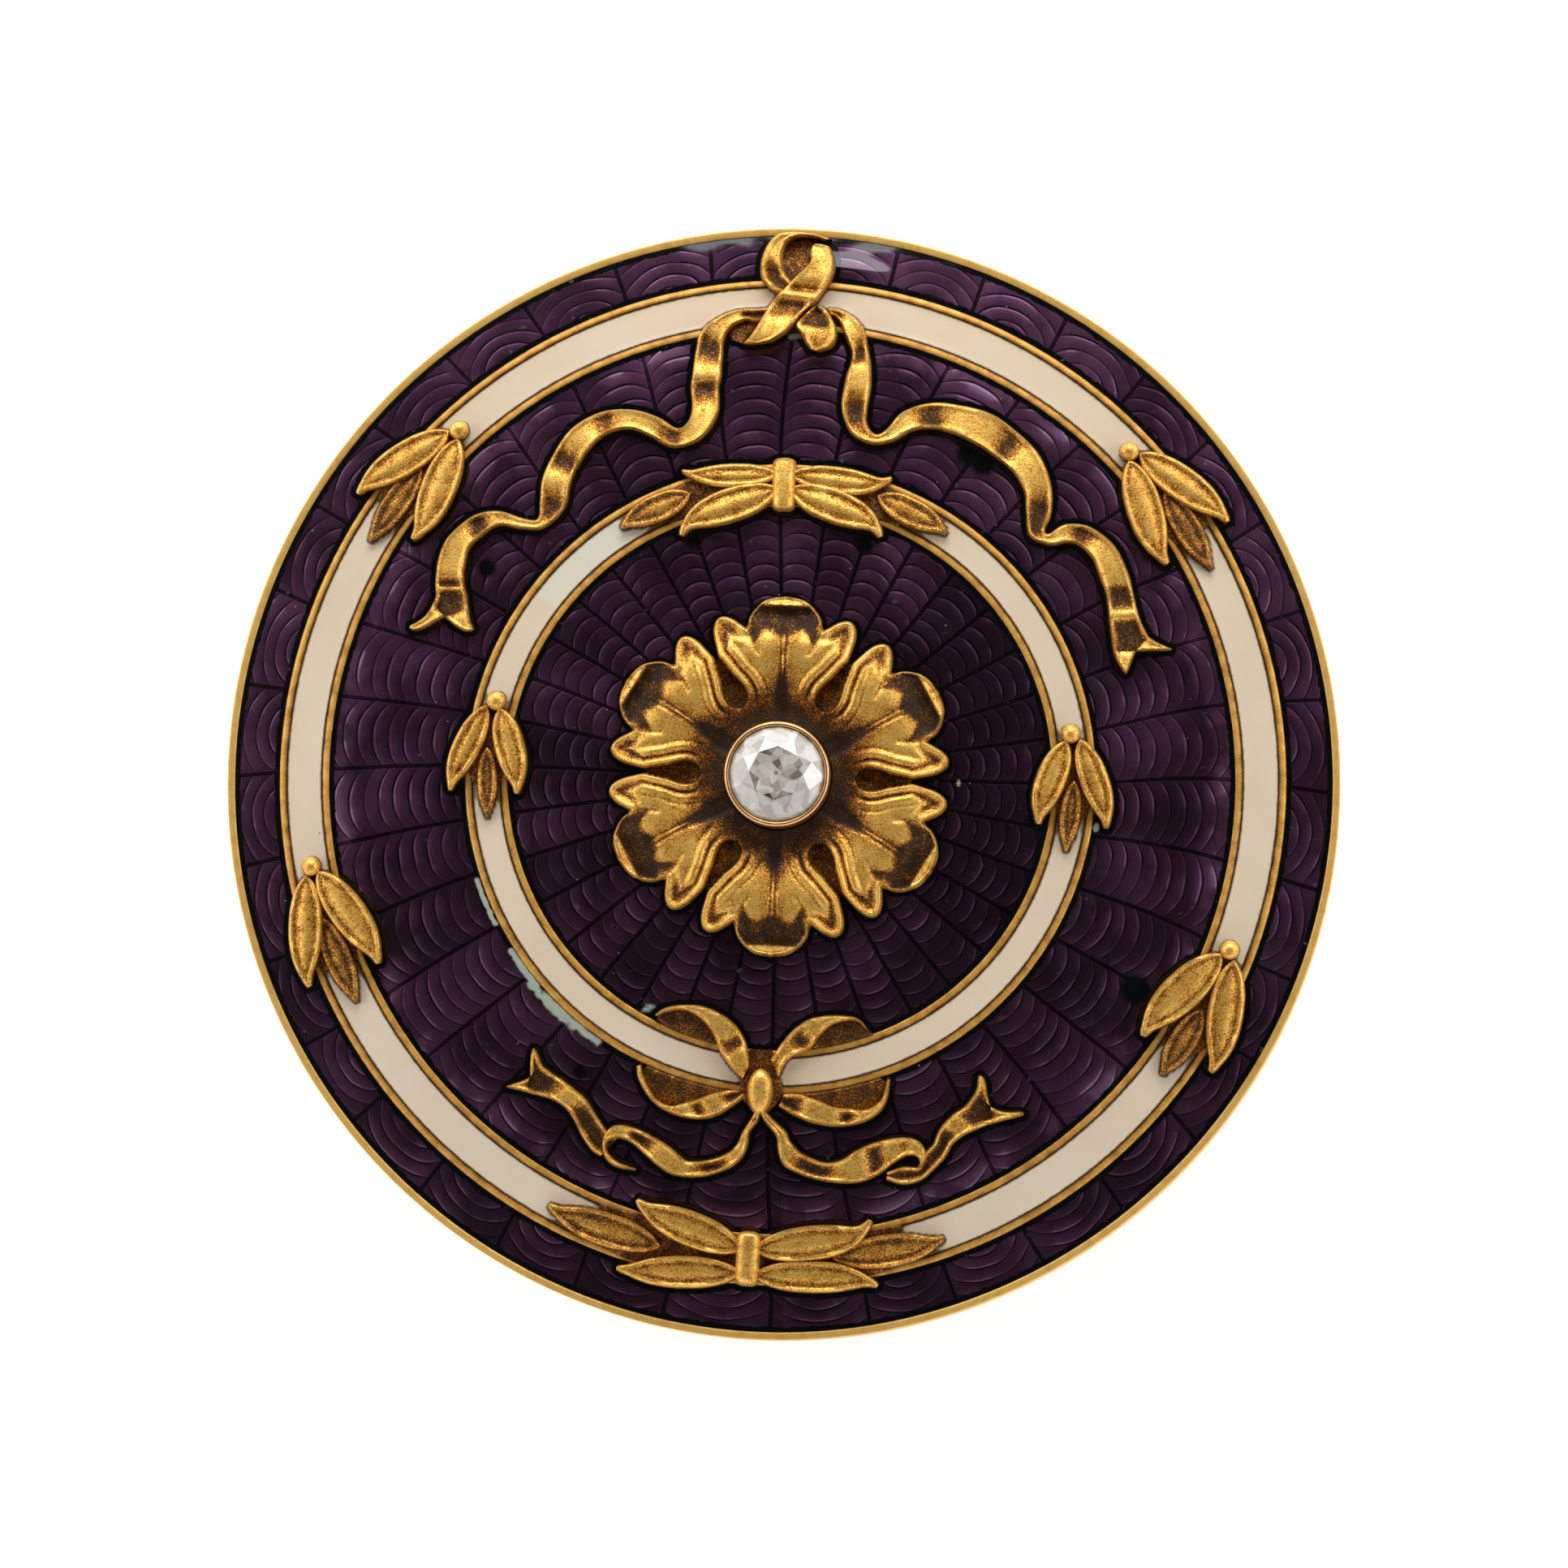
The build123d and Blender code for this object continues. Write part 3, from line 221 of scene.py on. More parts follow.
# The two points of each forked end, in the columns of the edges
left_ribbon_points = [
    [
        (-12.47, 6.38, -12.04, 5.84, 0.7), (-12.61, 6.12, -12.18, 5.76, 0.85),
        (-12.81, 5.87, -12.43, 5.63, 0.95), (-13.06, 5.7, -12.71, 5.47, 0.95),
        (-13.28, 5.59, -12.98, 5.38, 0.9), (-13.33, 5.52, -13.22, 5.39, 0.8),
    ],
    [
        (-12.04, 5.84, -11.17, 6.18, 0.7), (-11.82, 5.64, -11.12, 5.86, 0.9),
        (-11.57, 5.46, -11.06, 5.65, 0.95), (-11.29, 5.32, -11, 5.5, 0.9),
        (-11.06, 5.31, -10.96, 5.39, 0.8),
    ],
]
right_ribbon_points = [
    [
        (11.89, 4.5, 12.72, 4.52, 0.75), (11.99, 4.23, 12.62, 4.28, 0.9),
        (12.12, 3.98, 12.53, 4.05, 0.95), (12.24, 3.81, 12.44, 3.85, 0.9),
        (12.32, 3.73, 12.39, 3.74, 0.8),
    ],
    [
        (12.72, 4.52, 13.18, 5.07, 0.75), (13.07, 4.54, 13.41, 4.91, 0.9),
        (13.37, 4.55, 13.64, 4.8, 0.95), (13.72, 4.56, 13.86, 4.7, 0.9),
        (13.95, 4.58, 13.99, 4.65, 0.8),
    ],
]
left_tail_points = [
    [
        (-8.96, -10.63, -8.48, -10.25, 0.75), (-8.96, -10.22, -8.57, -10.05, 0.8),
        (-8.94, -9.92, -8.65, -9.82, 0.9), (-8.88, -9.69, -8.74, -9.67, 0.9),
        (-8.84, -9.61, -8.79, -9.61, 0.8),
    ],
    [
        (-9.09, -11.18, -8.96, -10.63, 0.8), (-9.4, -11.1, -9.27, -10.77, 0.9),
        (-9.64, -11.04, -9.56, -10.86, 0.9), (-9.82, -10.99, -9.79, -10.93, 0.8),
    ],
]
right_tail_points = [
    [
        (6.93, -11.25, 7.49, -11.7, 0.8), (7.02, -11.01, 7.39, -11.29, 0.9),
        (7.03, -10.82, 7.35, -10.96, 0.95), (7.05, -10.67, 7.28, -10.72, 0.9),
        (7.11, -10.61, 7.18, -10.62, 0.8),
    ],
    [
        (7.49, -11.7, 7.63, -12.32, 0.8), (7.8, -11.85, 7.97, -12.22, 0.9),
        (8.16, -11.91, 8.31, -12.14, 0.95), (8.55, -11.89, 8.62, -12.04, 0.9),
        (8.67, -11.94, 8.68, -12, 0.8),
    ],
]

# The knot: its loop along the rim, the strap across it and the lobe below
knot_loop_rows = [
    (1.79, 19.57, 1.48, 19.51, 0.6), (1.23, 19.76, 1.16, 19.6, 0.75),
    (0.76, 19.84, 0.65, 19.6, 0.9), (0.29, 19.86, 0.33, 19.5, 0.95), (-0.19, 19.76, 0.14, 19.3, 1),
    (-0.53, 19.4, 0.08, 18.99, 1), (-0.73, 18.93, 0.05, 18.72, 1), (-0.8, 18.5, 0.08, 18.47, 0.85),
    (-0.75, 18.14, 0.19, 18.26, 0.62), (-0.58, 17.87, 0.26, 18.14, 0.62),
    (-0.34, 17.65, 0.38, 18.02, 0.6), (0.01, 17.46, 0.54, 17.86, 0.6),
]
knot_strap_rows = [
    (1.03, 19.16, 1.28, 19.41, 0.8), (0.97, 18.97, 1.72, 19.28, 0.92),
    (1.01, 18.75, 1.89, 18.85, 1), (0.84, 18.5, 1.93, 18.39, 1), (0.46, 18.14, 1.79, 17.98, 0.95),
    (0.11, 17.77, 1.55, 17.61, 0.68), (-0.12, 17.52, 1.36, 17.32, 0.95),
    (-0.38, 17.21, 1.13, 17.06, 0.66), (-0.61, 16.83, 0.82, 16.77, 0.72),
    (-0.84, 16.43, 0.55, 16.44, 0.95), (-1.08, 16.03, 0.25, 16.1, 1),
    (-1.27, 15.79, -0.33, 15.75, 0.9), (-1.39, 15.68, -1.03, 15.64, 0.7),
]
knot_lobe_rows = [
    (1.08, 17.01, 1.47, 17.05, 0.55), (0.85, 16.79, 1.73, 16.83, 0.58),
    (0.57, 16.51, 1.93, 16.47, 0.66), (0.5, 16.32, 2.03, 16.13, 0.95),
    (0.67, 16.07, 2.02, 15.83, 1), (0.84, 15.75, 1.84, 15.51, 0.95),
    (1.02, 15.48, 1.37, 15.36, 0.8),
]
# Inner face of the left streamer where it turns under the strap
knot_fold_rows = [
    (-1.12, 16.57, -0.81, 16.5, 1), (-1.53, 16.41, -0.92, 16.23, 1),
    (-1.89, 16.12, -1.15, 15.95, 1), (-1.81, 15.84, -1.33, 15.71, 1),
]
# Ground between the knot's bands, in the ribbons' columns
knot_ground_rows = [
    (1.5, 1.66, 1, 1), (1.9, 1.54, 1.5, 1), (1.7, 1.42, 1.6, 1), (1.4, 1.3, 1.2, 1),
    (0.6, 1.12, 1, 1), (0.6, 0.98, 1, 1),
]

# The bow: four loops measured at both edges, from its bead outwards
bow_clock = 183.6
bow_loops = [
    [
        (-1.07, -10.25, -1.34, -10.78, 0.8), (-1.1, -9.78, -1.77, -10.32, 0.95),
        (-1.23, -9.32, -2.14, -9.78, 0.66), (-1.57, -8.81, -2.34, -9.25, 0.95),
        (-2.1, -8.41, -2.57, -8.88, 1), (-2.77, -8.14, -2.97, -8.51, 1),
        (-3.51, -8.1, -3.48, -8.31, 0.9), (-4.11, -8.21, -4.01, -8.38, 0.75),
        (-4.45, -8.44, -4.35, -8.53, 0.6),
    ],
    [
        (-1.21, -11.37, -1.51, -11.11, 0.6), (-1.65, -11.7, -1.98, -11.14, 0.62),
        (-2.19, -12.03, -2.59, -11.3, 0.95), (-2.73, -12.17, -3.06, -11.47, 0.66),
        (-3.4, -12.12, -3.53, -11.6, 0.95), (-4.07, -11.89, -3.93, -11.66, 1),
        (-4.54, -11.56, -4.37, -11.46, 0.9), (-4.9, -11.09, -4.67, -11.03, 0.85),
        (-5.1, -10.63, -4.86, -10.6, 0.75), (-5.13, -10.27, -4.93, -10.24, 0.6),
    ],
    [
        (-0.31, -10, -0.03, -10.71, 0.7), (0.04, -9.51, 0.32, -10.07, 0.85),
        (0.47, -9.01, 1.1, -9.69, 0.66), (1.04, -8.63, 1.46, -9.23, 0.95),
        (1.67, -8.5, 1.88, -8.87, 1), (2.31, -8.5, 2.38, -8.72, 0.95), (2.8, -8.6, 2.8, -8.75, 0.8),
        (3.15, -8.96, 3.08, -9, 0.6),
    ],
    [
        (-0.04, -11.75, 0.17, -11.26, 0.5), (0.45, -12.03, 0.67, -11.26, 0.6),
        (1.08, -12.3, 1.3, -11.47, 0.95), (1.79, -12.44, 1.87, -11.71, 0.9),
        (2.42, -12.43, 2.43, -11.78, 0.62), (3.06, -12.26, 2.99, -11.83, 0.95),
        (3.56, -11.95, 3.42, -11.64, 0.95), (3.84, -11.46, 3.67, -11.32, 0.8),
        (3.95, -10.76, 3.81, -10.77, 0.65),
    ],
]
# Ground inside each loop and round the bead, in the same columns
bow_grounds = [
    [
        (-4.4, -8.62, -4.25, -8.35, 1), (-3.95, -8.92, -3.55, -8.25, 1),
        (-3.35, -9.16, -2.95, -8.42, 1), (-2.75, -9.36, -2.45, -8.85, 1),
        (-2.35, -9.5, -2.2, -9.25, 1),
    ],
    [
        (-4.72, -10.24, -4.95, -10.45, 1), (-4.45, -10.36, -4.8, -11.05, 1),
        (-4.05, -10.52, -4.35, -11.6, 1), (-3.55, -10.7, -3.75, -11.75, 1),
        (-3, -10.86, -3.1, -11.62, 1), (-2.4, -11.01, -2.45, -11.38, 1),
        (-1.9, -11.11, -1.9, -11.22, 1),
    ],
    [
        (3.35, -9.16, 3.02, -8.85, 1), (2.75, -9.36, 2.6, -8.62, 1), (2.15, -9.51, 1.95, -8.75, 1),
        (1.65, -9.61, 1.45, -9.15, 1), (1.25, -9.68, 1.15, -9.55, 1),
    ],
    [
        (3.55, -10.7, 3.85, -10.9, 1), (3.3, -10.78, 3.62, -11.45, 1),
        (2.9, -10.89, 3.15, -11.85, 1), (2.4, -11.01, 2.45, -11.95, 1),
        (1.8, -11.13, 1.85, -11.85, 1), (1.2, -11.21, 1.25, -11.58, 1),
        (0.6, -11.25, 0.6, -11.36, 1),
    ],
    [
        (-1.1, -9.7, -0.25, -9.7, 1), (-1.23, -10.36, -0.11, -10.36, 1),
        (-1.42, -10.91, 0.08, -10.98, 1), (-1.38, -11.39, 0.13, -11.39, 1),
        (-1.04, -11.8, -0.27, -11.77, 1), (-0.85, -12.07, -0.51, -12.04, 1),
    ],
]
# Half the gap of the cream hoop at the bow's bead, in hoop widths
bow_gap = 0.62

# Leaves. Columns: base and tip as places along the hoop from the bead and
# outwards from its middle line, width, all in hoop widths, height as a share
# of the leaf's, and bend as the rise of its middle line to its length
three_leaf_rows = [
    (1.45, 0.05, 4, 0, 0.82, 0.62, 0), (0.21, 0.16, 3.07, 1.02, 1.01, 0.95, 0.052),
    (0.18, -0.16, 3.3, -1.02, 1.05, 1, -0.052),
]
right_three_leaf_rows = [
    (1.81, 0, 3.95, 0.05, 0.82, 0.62, 0), (0.22, 0.2, 3.12, 1.08, 1.02, 0.95, 0.052),
    (0.2, -0.16, 3.38, -1, 1.11, 1, -0.052),
]
small_three_leaf_rows = [
    (1.65, 0.02, 4.2, 0.04, 0.79, 0.62, 0), (0.22, 0.28, 3.15, 1.26, 1.07, 0.95, 0.058),
    (0.22, -0.18, 3.41, -1.08, 1.12, 1, -0.058),
]
top_leaf_rows = [
    (3.3, 0.18, 6.08, 0.03, 1.08, 0.75, 0.06), (-3.3, 0.18, -6.02, 0.09, 1.08, 0.75, -0.06),
    (0.16, 0.36, 3.55, 0.95, 1.06, 0.95, -0.1), (-0.14, 0.34, -3.35, 1.06, 0.92, 0.95, 0.06),
    (0.16, -0.16, 3.98, -1.18, 1.26, 1, 0.13), (-0.16, -0.16, -4.15, -1.14, 1.28, 1, -0.13),
]
bottom_leaf_rows = [
    (2.45, 0.06, 5.75, 0.12, 0.97, 0.75, 0.05), (-2.35, 0.04, -5.46, 0.16, 0.95, 0.75, -0.05),
    (0.16, 0.4, 3.42, 0.96, 0.92, 0.95, 0.025), (-0.16, 0.44, -3.42, 0.97, 0.92, 0.95, 0.06),
    (0.16, -0.24, 3.45, -0.99, 1, 1, 0.06), (-0.16, -0.26, -3.59, -0.84, 1, 1, -0.14),
]
# The ground between the leaves of a spray: along, outwards, width in hoop
# widths, and height as a share of the web's
beaded_web_rows = [
    (0.15, 0, 0.25, 1), (0.8, 0, 0.7, 1), (1.6, 0, 1.2, 1), (2.3, 0, 1.35, 1), (2.9, 0, 1.1, 0.8),
]
tied_web_rows = [
    (-4.4, 0, 1.1, 0.8), (-3.2, 0, 1.3, 1), (-1.6, 0, 1.2, 1), (0, 0, 1, 1), (1.6, 0, 1.2, 1),
    (3.2, 0, 1.3, 1), (4.4, 0, 1.1, 0.8),
]
# Sprays. Columns: name, hoop, clock angle of the bead or tie, sense of the leaves
# (1 clockwise, -1 anticlockwise), leaf rows
beaded_sprays = [
    ("spray_upper_left", outer_hoop, -42.5, -1, three_leaf_rows),
    ("spray_upper_right", outer_hoop, 46.7, 1, three_leaf_rows),
    ("spray_lower_left", outer_hoop, -100.2, -1, three_leaf_rows),
    ("spray_lower_right", outer_hoop, 110.9, 1, right_three_leaf_rows),
    ("spray_inner_left", inner_hoop, -74.6, -1, small_three_leaf_rows),
    ("spray_inner_right", inner_hoop, 81.6, 1, small_three_leaf_rows),
]
tied_sprays = [
    ("spray_top", inner_hoop, 0.9, 1, top_leaf_rows),
    ("spray_bottom", outer_hoop, 184.0, 1, bottom_leaf_rows),
]
# Sections of a leaf: share of its length, of its width and of its height
leaf_sections = [
    (0, 0.12, 0.75), (0.05, 0.4, 0.85), (0.14, 0.7, 0.95), (0.28, 0.93, 1), (0.44, 1, 1),
    (0.58, 0.97, 1), (0.71, 0.84, 0.98), (0.82, 0.62, 0.95), (0.91, 0.38, 0.92), (0.97, 0.26, 0.9),
    (1, 0.17, 0.85),
]
# A tie and the bow's bead: place from -1 to 1 along, share of width, of height
tie_rows = [
    (-1, 0.45, 0.45), (-0.9, 0.86, 0.85), (-0.6, 1, 0.97), (0.6, 1, 1), (0.9, 0.86, 0.85),
    (1, 0.45, 0.45),
]
bow_bead_rows = [
    (-1, 0.12, 0.45), (-0.85, 0.55, 0.72), (-0.5, 0.88, 0.94), (0, 1, 1), (0.5, 0.88, 0.94),
    (0.85, 0.55, 0.72), (1, 0.12, 0.45),
]
# Middle of the bow's bead outwards from the hoop's, in hoop widths
bow_bead_out = 0.70

# Half of a petal's outline: degrees from its axis, share of the rosette's radius
petal_outline = [
    (0, 1), (6, 0.985), (10.8, 0.935), (13.4, 0.885), (14.4, 0.842), (16.2, 0.87), (18.8, 0.915),
    (21.4, 0.942), (23.8, 0.94), (25.8, 0.91), (27.3, 0.86), (28.3, 0.8), (29.2, 0.745),
]
# Where the outline's notch lies, and the fold that runs inwards from it
notch_row = 4
notch_fold = [(13.4, 0.76), (11.6, 0.69)]
# Folded lip of the broad lobe, its dark hollow and the trough along the petal, in
# mm from the rosette's middle along the petal's axis and sideways from the axis
lip_inner = 6.06
lip_half = 0.95
hollow_inner = 5.00
trough_half = 0.13
# Side of the eye between two petals: share of the radius, degrees from the axis
eye_side = [
    (0.435, 30), (0.45, 25.6), (0.48, 23.7), (0.53, 23.6), (0.62, 26.6), (0.745, 29.2),
]
# Crown of a petal: share of the radius, share of the rosette's height
petal_crown = [
    (0.3, 0.3), (0.37, 0.3), (0.46, 0.46), (0.56, 0.62), (0.66, 0.72), (0.74, 0.73), (0.82, 0.62),
    (0.91, 0.5), (1, 0.5),
]

# Facets of the stone, in shares of its radius, and where the first main stands
stone_turn = 5.0
culet_share = 0.05
table_share = 0.56
inner_point_share = 0.37
star_share = 0.76
# Painted reflections: the grey each group of facets returns. Columns: main seen through
# the table, the two halves beside it, star, kite on the crown, the two girdle facets
stone_tones = [
    (0.42, 0.12, 0.6, 0.8, 1, 0.85, 0.62), (0.66, 0.62, 0.7, 0.58, 0.78, 0.88, 0.55),
    (0.48, 0.55, 0.85, 0.9, 0.8, 0.74, 0.9), (0.78, 0.7, 0.18, 0.72, 0.68, 0.86, 0.6),
    (0.62, 0.1, 0.22, 0.84, 0.48, 0.7, 0.82), (0.8, 0.36, 0.08, 0.7, 0.82, 0.66, 0.78),
    (0.66, 0.14, 0.66, 0.86, 0.7, 0.84, 0.6), (0.52, 0.6, 0.1, 0.66, 0.76, 0.58, 0.86),
]

# Dark spots in the purple enamel. Columns: clock angle, radius and size in mm
deep_spots = [
    (-54.1, 12.99, 0.3), (-20, 9.03, 0.28), (20, 8.88, 0.34), (120.8, 14.74, 0.52),
    (214.4, 12.69, 0.24), (-84.3, 9.12, 0.34), (30, 13.5, 0.4), (32.6, 13.45, 0.4),
]
# Pale deposit that hugs the gold. Columns: clock angle from and to, radius and
# width in mm
pale_streaks = [
    (208.9, 210.4, 9.46, 0.14), (214.4, 220.6, 11.42, 0.13), (219.4, 225.8, 11.46, 0.19),
    (225, 231.2, 11.48, 0.17), (230.4, 238, 11.41, 0.12), (243, 252, 11.42, 0.08),
    (1, 2.6, 16, 0.1), (98.3, 99.7, 11.42, 0.08), (191.5, 193.5, 9.62, 0.08), (91, 93, 6.4, 0.08),
]

# How far the cast gold shows in the enamel round it
gold_reach = 0.6 * mm
# Run of thicker glass in the rim's band beside the knot: its clock angle and
# spread in degrees, its radius, spread and height in mm
glass_run = (7.0, 3.5, 18.65, 0.25, 0.05)
# How high the cream creeps up the gold, and over what width
cream_creep = 0.012 * mm
cream_creep_width = 0.10 * mm
# Clock angles over which the mended stretch of the inner hoop begins and ends
mended_from = (-53.0, -52.4)
mended_to = (-30.0, -27.0)

# Camera and stage
camera_distance = 0.40
sensor_width = 0.036
view_width = 56.28 * mm
camera_lean = (0.047, -0.068)
camera_target = (0.05 * mm, -0.06 * mm)


def dome_height(radius, lift=0.0):
    """Height of the dome's face at a distance from the middle, raised by lift."""
    return dome_centre + np.sqrt((dome_radius + lift) ** 2 - radius**2)


def clock_place(clock, radius):
    """Place at a clock angle from the knot and a distance from the middle."""
    turn = np.radians(clock)
    return np.stack([radius * np.sin(turn), radius * np.cos(turn)], axis=-1)


def field_place(clock, share):
    """Place at a clock angle and a share of the way across the purple field."""
    return clock_place(clock, field_inner + share * field_width)


def hoop_place(hoop, clock, along, out):
    """Place beside a clock angle of a hoop, along it and outwards in hoop widths."""
    middle_radius, width = hoop
    return clock_place(clock + np.degrees(along * width / middle_radius), middle_radius + out * width)


def eased(rows, steps):
    """Rows with others between them, on a smooth curve through them."""
    rows = np.array(rows, float)
    padded = np.vstack([2 * rows[0] - rows[1], rows, 2 * rows[-1] - rows[-2]])
    result = []
    for before, start, end, after in zip(padded, padded[1:], padded[2:], padded[3:]):
        for share in np.arange(steps) / steps:
            slope = (end - before) * share
            bend = (2 * before - 5 * start + 4 * end - after) * share**2
            turn = (3 * start - before - 3 * end + after) * share**3
            result.append(start + (slope + bend + turn) / 2)
    result.append(rows[-1])
    return np.array(result)


def rounded(depth, reach):
    """Quarter round from 0 at an edge to 1 at a reach inside it."""
    share = np.clip(depth / reach, 0, 1)
    return np.sqrt(1 - (1 - share) ** 2)


def bell(value):
    """Smooth bump of height 1 at 0."""
    return np.exp(-value * value)


def ramp(value, low, high):
    """Smooth step from 0 at low to 1 at high."""
    share = np.clip((value - low) / (high - low), 0, 1)
    return share * share * (3 - 2 * share)


def grid_faces(rows, columns, close_rows=False, close_columns=False):
    """Four-sided faces of a grid of points, joined up at its ends if asked."""
    index = np.arange(rows * columns).reshape(rows, columns)
    if close_rows:
        index = np.vstack([index, index[:1]])
    if close_columns:
        index = np.hstack([index, index[:, :1]])
    corners = [index[:-1, :-1], index[:-1, 1:], index[1:, 1:], index[1:, :-1]]
    return np.stack(corners, axis=-1).reshape(-1, 4).tolist()


def joined(shapes):
    """One shape from several, each a triple of points, faces and patina."""
    points, faces, patina = [], [], []
    start = 0
    for shape_points, shape_faces, shape_patina in shapes:
        points.append(shape_points)
        patina.append(shape_patina)
        faces += [[start + corner for corner in face] for face in shape_faces]
        start += len(shape_points)
    return np.vstack(points), faces, np.concatenate(patina)


def cross_lines(places, widths):
    """Left end, middle and right end of the lines across a path."""
    heading = np.gradient(places, axis=0)
    heading /= np.linalg.norm(heading, axis=1, keepdims=True)
    half = np.stack([heading[:, 1], -heading[:, 0]], axis=1) * widths[:, None] / 2
    return np.stack([places - half, places, places + half], axis=1)


def relief(lines, heights, section):
    """Closed relief on the dome over a row of cross lines, shaped by its section.

    A section gives lift and patina from the share across the band, from -1 to 1,
    the depth inside its edge in mm and the height there.
    """
    edge_share = np.linspace(0, 1, 9)
    half = 1 - edge_share**2
    across = np.concatenate([-half, half[-2::-1]])
    left, middle, right = lines[:, 0], lines[:, 1], lines[:, 2]
    reach = np.where(across[None, :, None] < 0, (left - middle)[:, None], (right - middle)[:, None])
    places = middle[:, None] + np.abs(across)[None, :, None] * reach
    depth = (1 - np.abs(across))[None] * np.linalg.norm(reach, axis=2) / mm
    lift, patina = section(across[None], depth, heights[:, None])
    surface = dome_height(np.hypot(places[..., 0], places[..., 1]), relief_foot + lift)
    rows, columns = surface.shape
    top = np.dstack([places, surface]).reshape(-1, 3)
    foot = np.column_stack([middle, dome_height(np.hypot(*middle.T), relief_foot)])
    faces = grid_faces(rows, columns)
    first_foot = rows * columns
    for row in range(rows - 1):
        near, far = row * columns, (row + 1) * columns
        faces.append([first_foot + row, near, far, first_foot + row + 1])
        faces.append([near + columns - 1, first_foot + row, first_foot + row + 1, far + columns - 1])
    faces.append(list(range(columns)) + [first_foot])
    faces.append(list(range(first_foot - columns, first_foot)) + [first_foot + rows - 1])
    return np.vstack([top, foot]), faces, np.concatenate([patina.ravel(), np.ones(rows)])


def strap_section(full_height, corner, lip_at, lip_spread, hollow, follow, lip_share, dip_depth):
    """Section of a strap with thin raised edges, hollow and dark where it dips.

    Widths are in mm. The edges follow a dip by a share of its depth.
    """

    def section(across, depth, height):
        dip = ramp(0.88 - height / full_height, 0.0, 0.30)
        body = rounded(depth, corner)
        lip = bell((depth - lip_at) / lip_spread)
        inside = ramp(depth, *hollow)
        edge_height = follow * height + (1 - follow) * 0.9 * full_height
        lift = edge_height * ((1 - lip_share) * body + lip_share * lip) - dip_depth * mm * dip * inside
        return lift, np.clip(0.02 + inside * (0.07 + 0.72 * dip) + 0.7 * (1 - body), 0, 1)

    return section


ribbon_section = strap_section(ribbon_height, 0.14, 0.09, 0.06, (0.08, 0.24), 0.35, 0.10, 0.15)
knot_section = strap_section(knot_height, 0.20, 0.11, 0.08, (0.12, 0.34), 0.45, 0.12, 0.18)


def leaf_section(across, depth, height):
    """Dished leaf with a rounded rim and a faint ridge down its middle."""
    body = rounded(depth, 0.09)
    dish = ramp(depth, 0.14, 0.25)
    ridge = bell(across / 0.22)
    swell = 1 - across**2
    lift = height * (0.84 * body + 0.16 * swell) - leaf_dish * dish * (1 - 0.50 * ridge)
    hollow = dish * (1 - ramp(depth, 0.28, 0.44))
    low = np.clip(0.95 - height / leaf_height, 0, 1)
    patina = 0.05 + dish * (0.13 + 0.28 * hollow - 0.10 * ridge) + 0.9 * low + 0.8 * (1 - body)
    return lift, np.clip(patina, 0, 1)


def round_section(across, depth, height):
    """Rounded bar with steep sides, dark along its foot."""
    dome = np.sqrt(np.clip(1 - across**2, 0, 1))
    body = 0.55 * rounded(depth, 0.16) + 0.45 * dome
    return height * body, np.clip(0.95 - 1.9 * body, 0.08, 1) + 0 * height


def ground_section(across, depth, height):
    """Low ground between raised pieces, brown with patina."""
    body = rounded(depth, 0.10)
    return height * body, np.full_like(body, 0.68)


def ribbon_rows(rows):
    """Stretch of a ribbon over the field from rows of clock angle, share, width and height."""
    clocks, shares, widths, heights = np.array(rows).T
    return cross_lines(field_place(clocks, shares), widths * ribbon_width), heights


def edged(rows, fork=None):
    """Stretch from rows of its two edges and a height share, ended by a fork's line."""
    rows = np.array(rows)
    left, right = rows[:, 0:2] * mm, rows[:, 2:4] * mm
    lines = np.stack([left, (left + right) / 2, right], axis=1)
    shares = rows[:, 4]
    if fork:
        lines = np.concatenate([lines, np.array(fork)[None] * mm])
        shares = np.append(shares, shares[-1])
    return lines, shares


def band(stretches, height, section):
    """Relief over stretches of cross lines and height shares, one after the other."""
    chain, shares = stretches[0]
    for lines, more in stretches[1:]:
        straight = np.linalg.norm(chain[-1] - lines[0], axis=1).sum()
        crossed = np.linalg.norm(chain[-1] - lines[0, ::-1], axis=1).sum()
        if crossed < straight:
            lines = lines[:, ::-1]
        chain = np.concatenate([chain, lines])
        shares = np.concatenate([shares, more])
    smooth = eased(np.column_stack([chain.reshape(-1, 6), shares]), 5)
    return relief(smooth[:, :6].reshape(-1, 3, 2), smooth[:, 6] * height, section)


def measured(rows, height=ribbon_height, section=ribbon_section):
    """Relief over one stretch that is measured at both edges."""
    return band([edged(rows)], height, section)


def forked(stretches, points, height):
    """Ribbon whose end is cut to a notch between two points."""
    return [band(stretches, height, ribbon_section)] + [measured(rows, height) for rows in points]


def web(hoop, clock, sense, rows):
    """Low ground under a spray from rows of along, out, width and height."""
    along, out, widths, heights = np.array(rows).T
    lines = cross_lines(hoop_place(hoop, clock, sense * along, out), widths * hoop[1])
    return band([(lines, heights)], web_height, ground_section)


def leaf(hoop, clock, sense, row):
    """Laurel leaf from its base to its hooked tip."""
    base_along, base_out, tip_along, tip_out, width_share, height_share, bend = row
    base = hoop_place(hoop, clock, sense * base_along, base_out)
    run = hoop_place(hoop, clock, sense * tip_along, tip_out) - base
    sections = eased(leaf_sections, 4)
    length_share = sections[:, :1]
    sag = sense * bend * length_share * (1 - length_share**8)
    places = base + run * length_share + np.array([-run[1], run[0]]) * sag
    lines = cross_lines(places, sections[:, 1] * width_share * hoop[1])
    return relief(lines, sections[:, 2] * height_share * leaf_height, leaf_section)


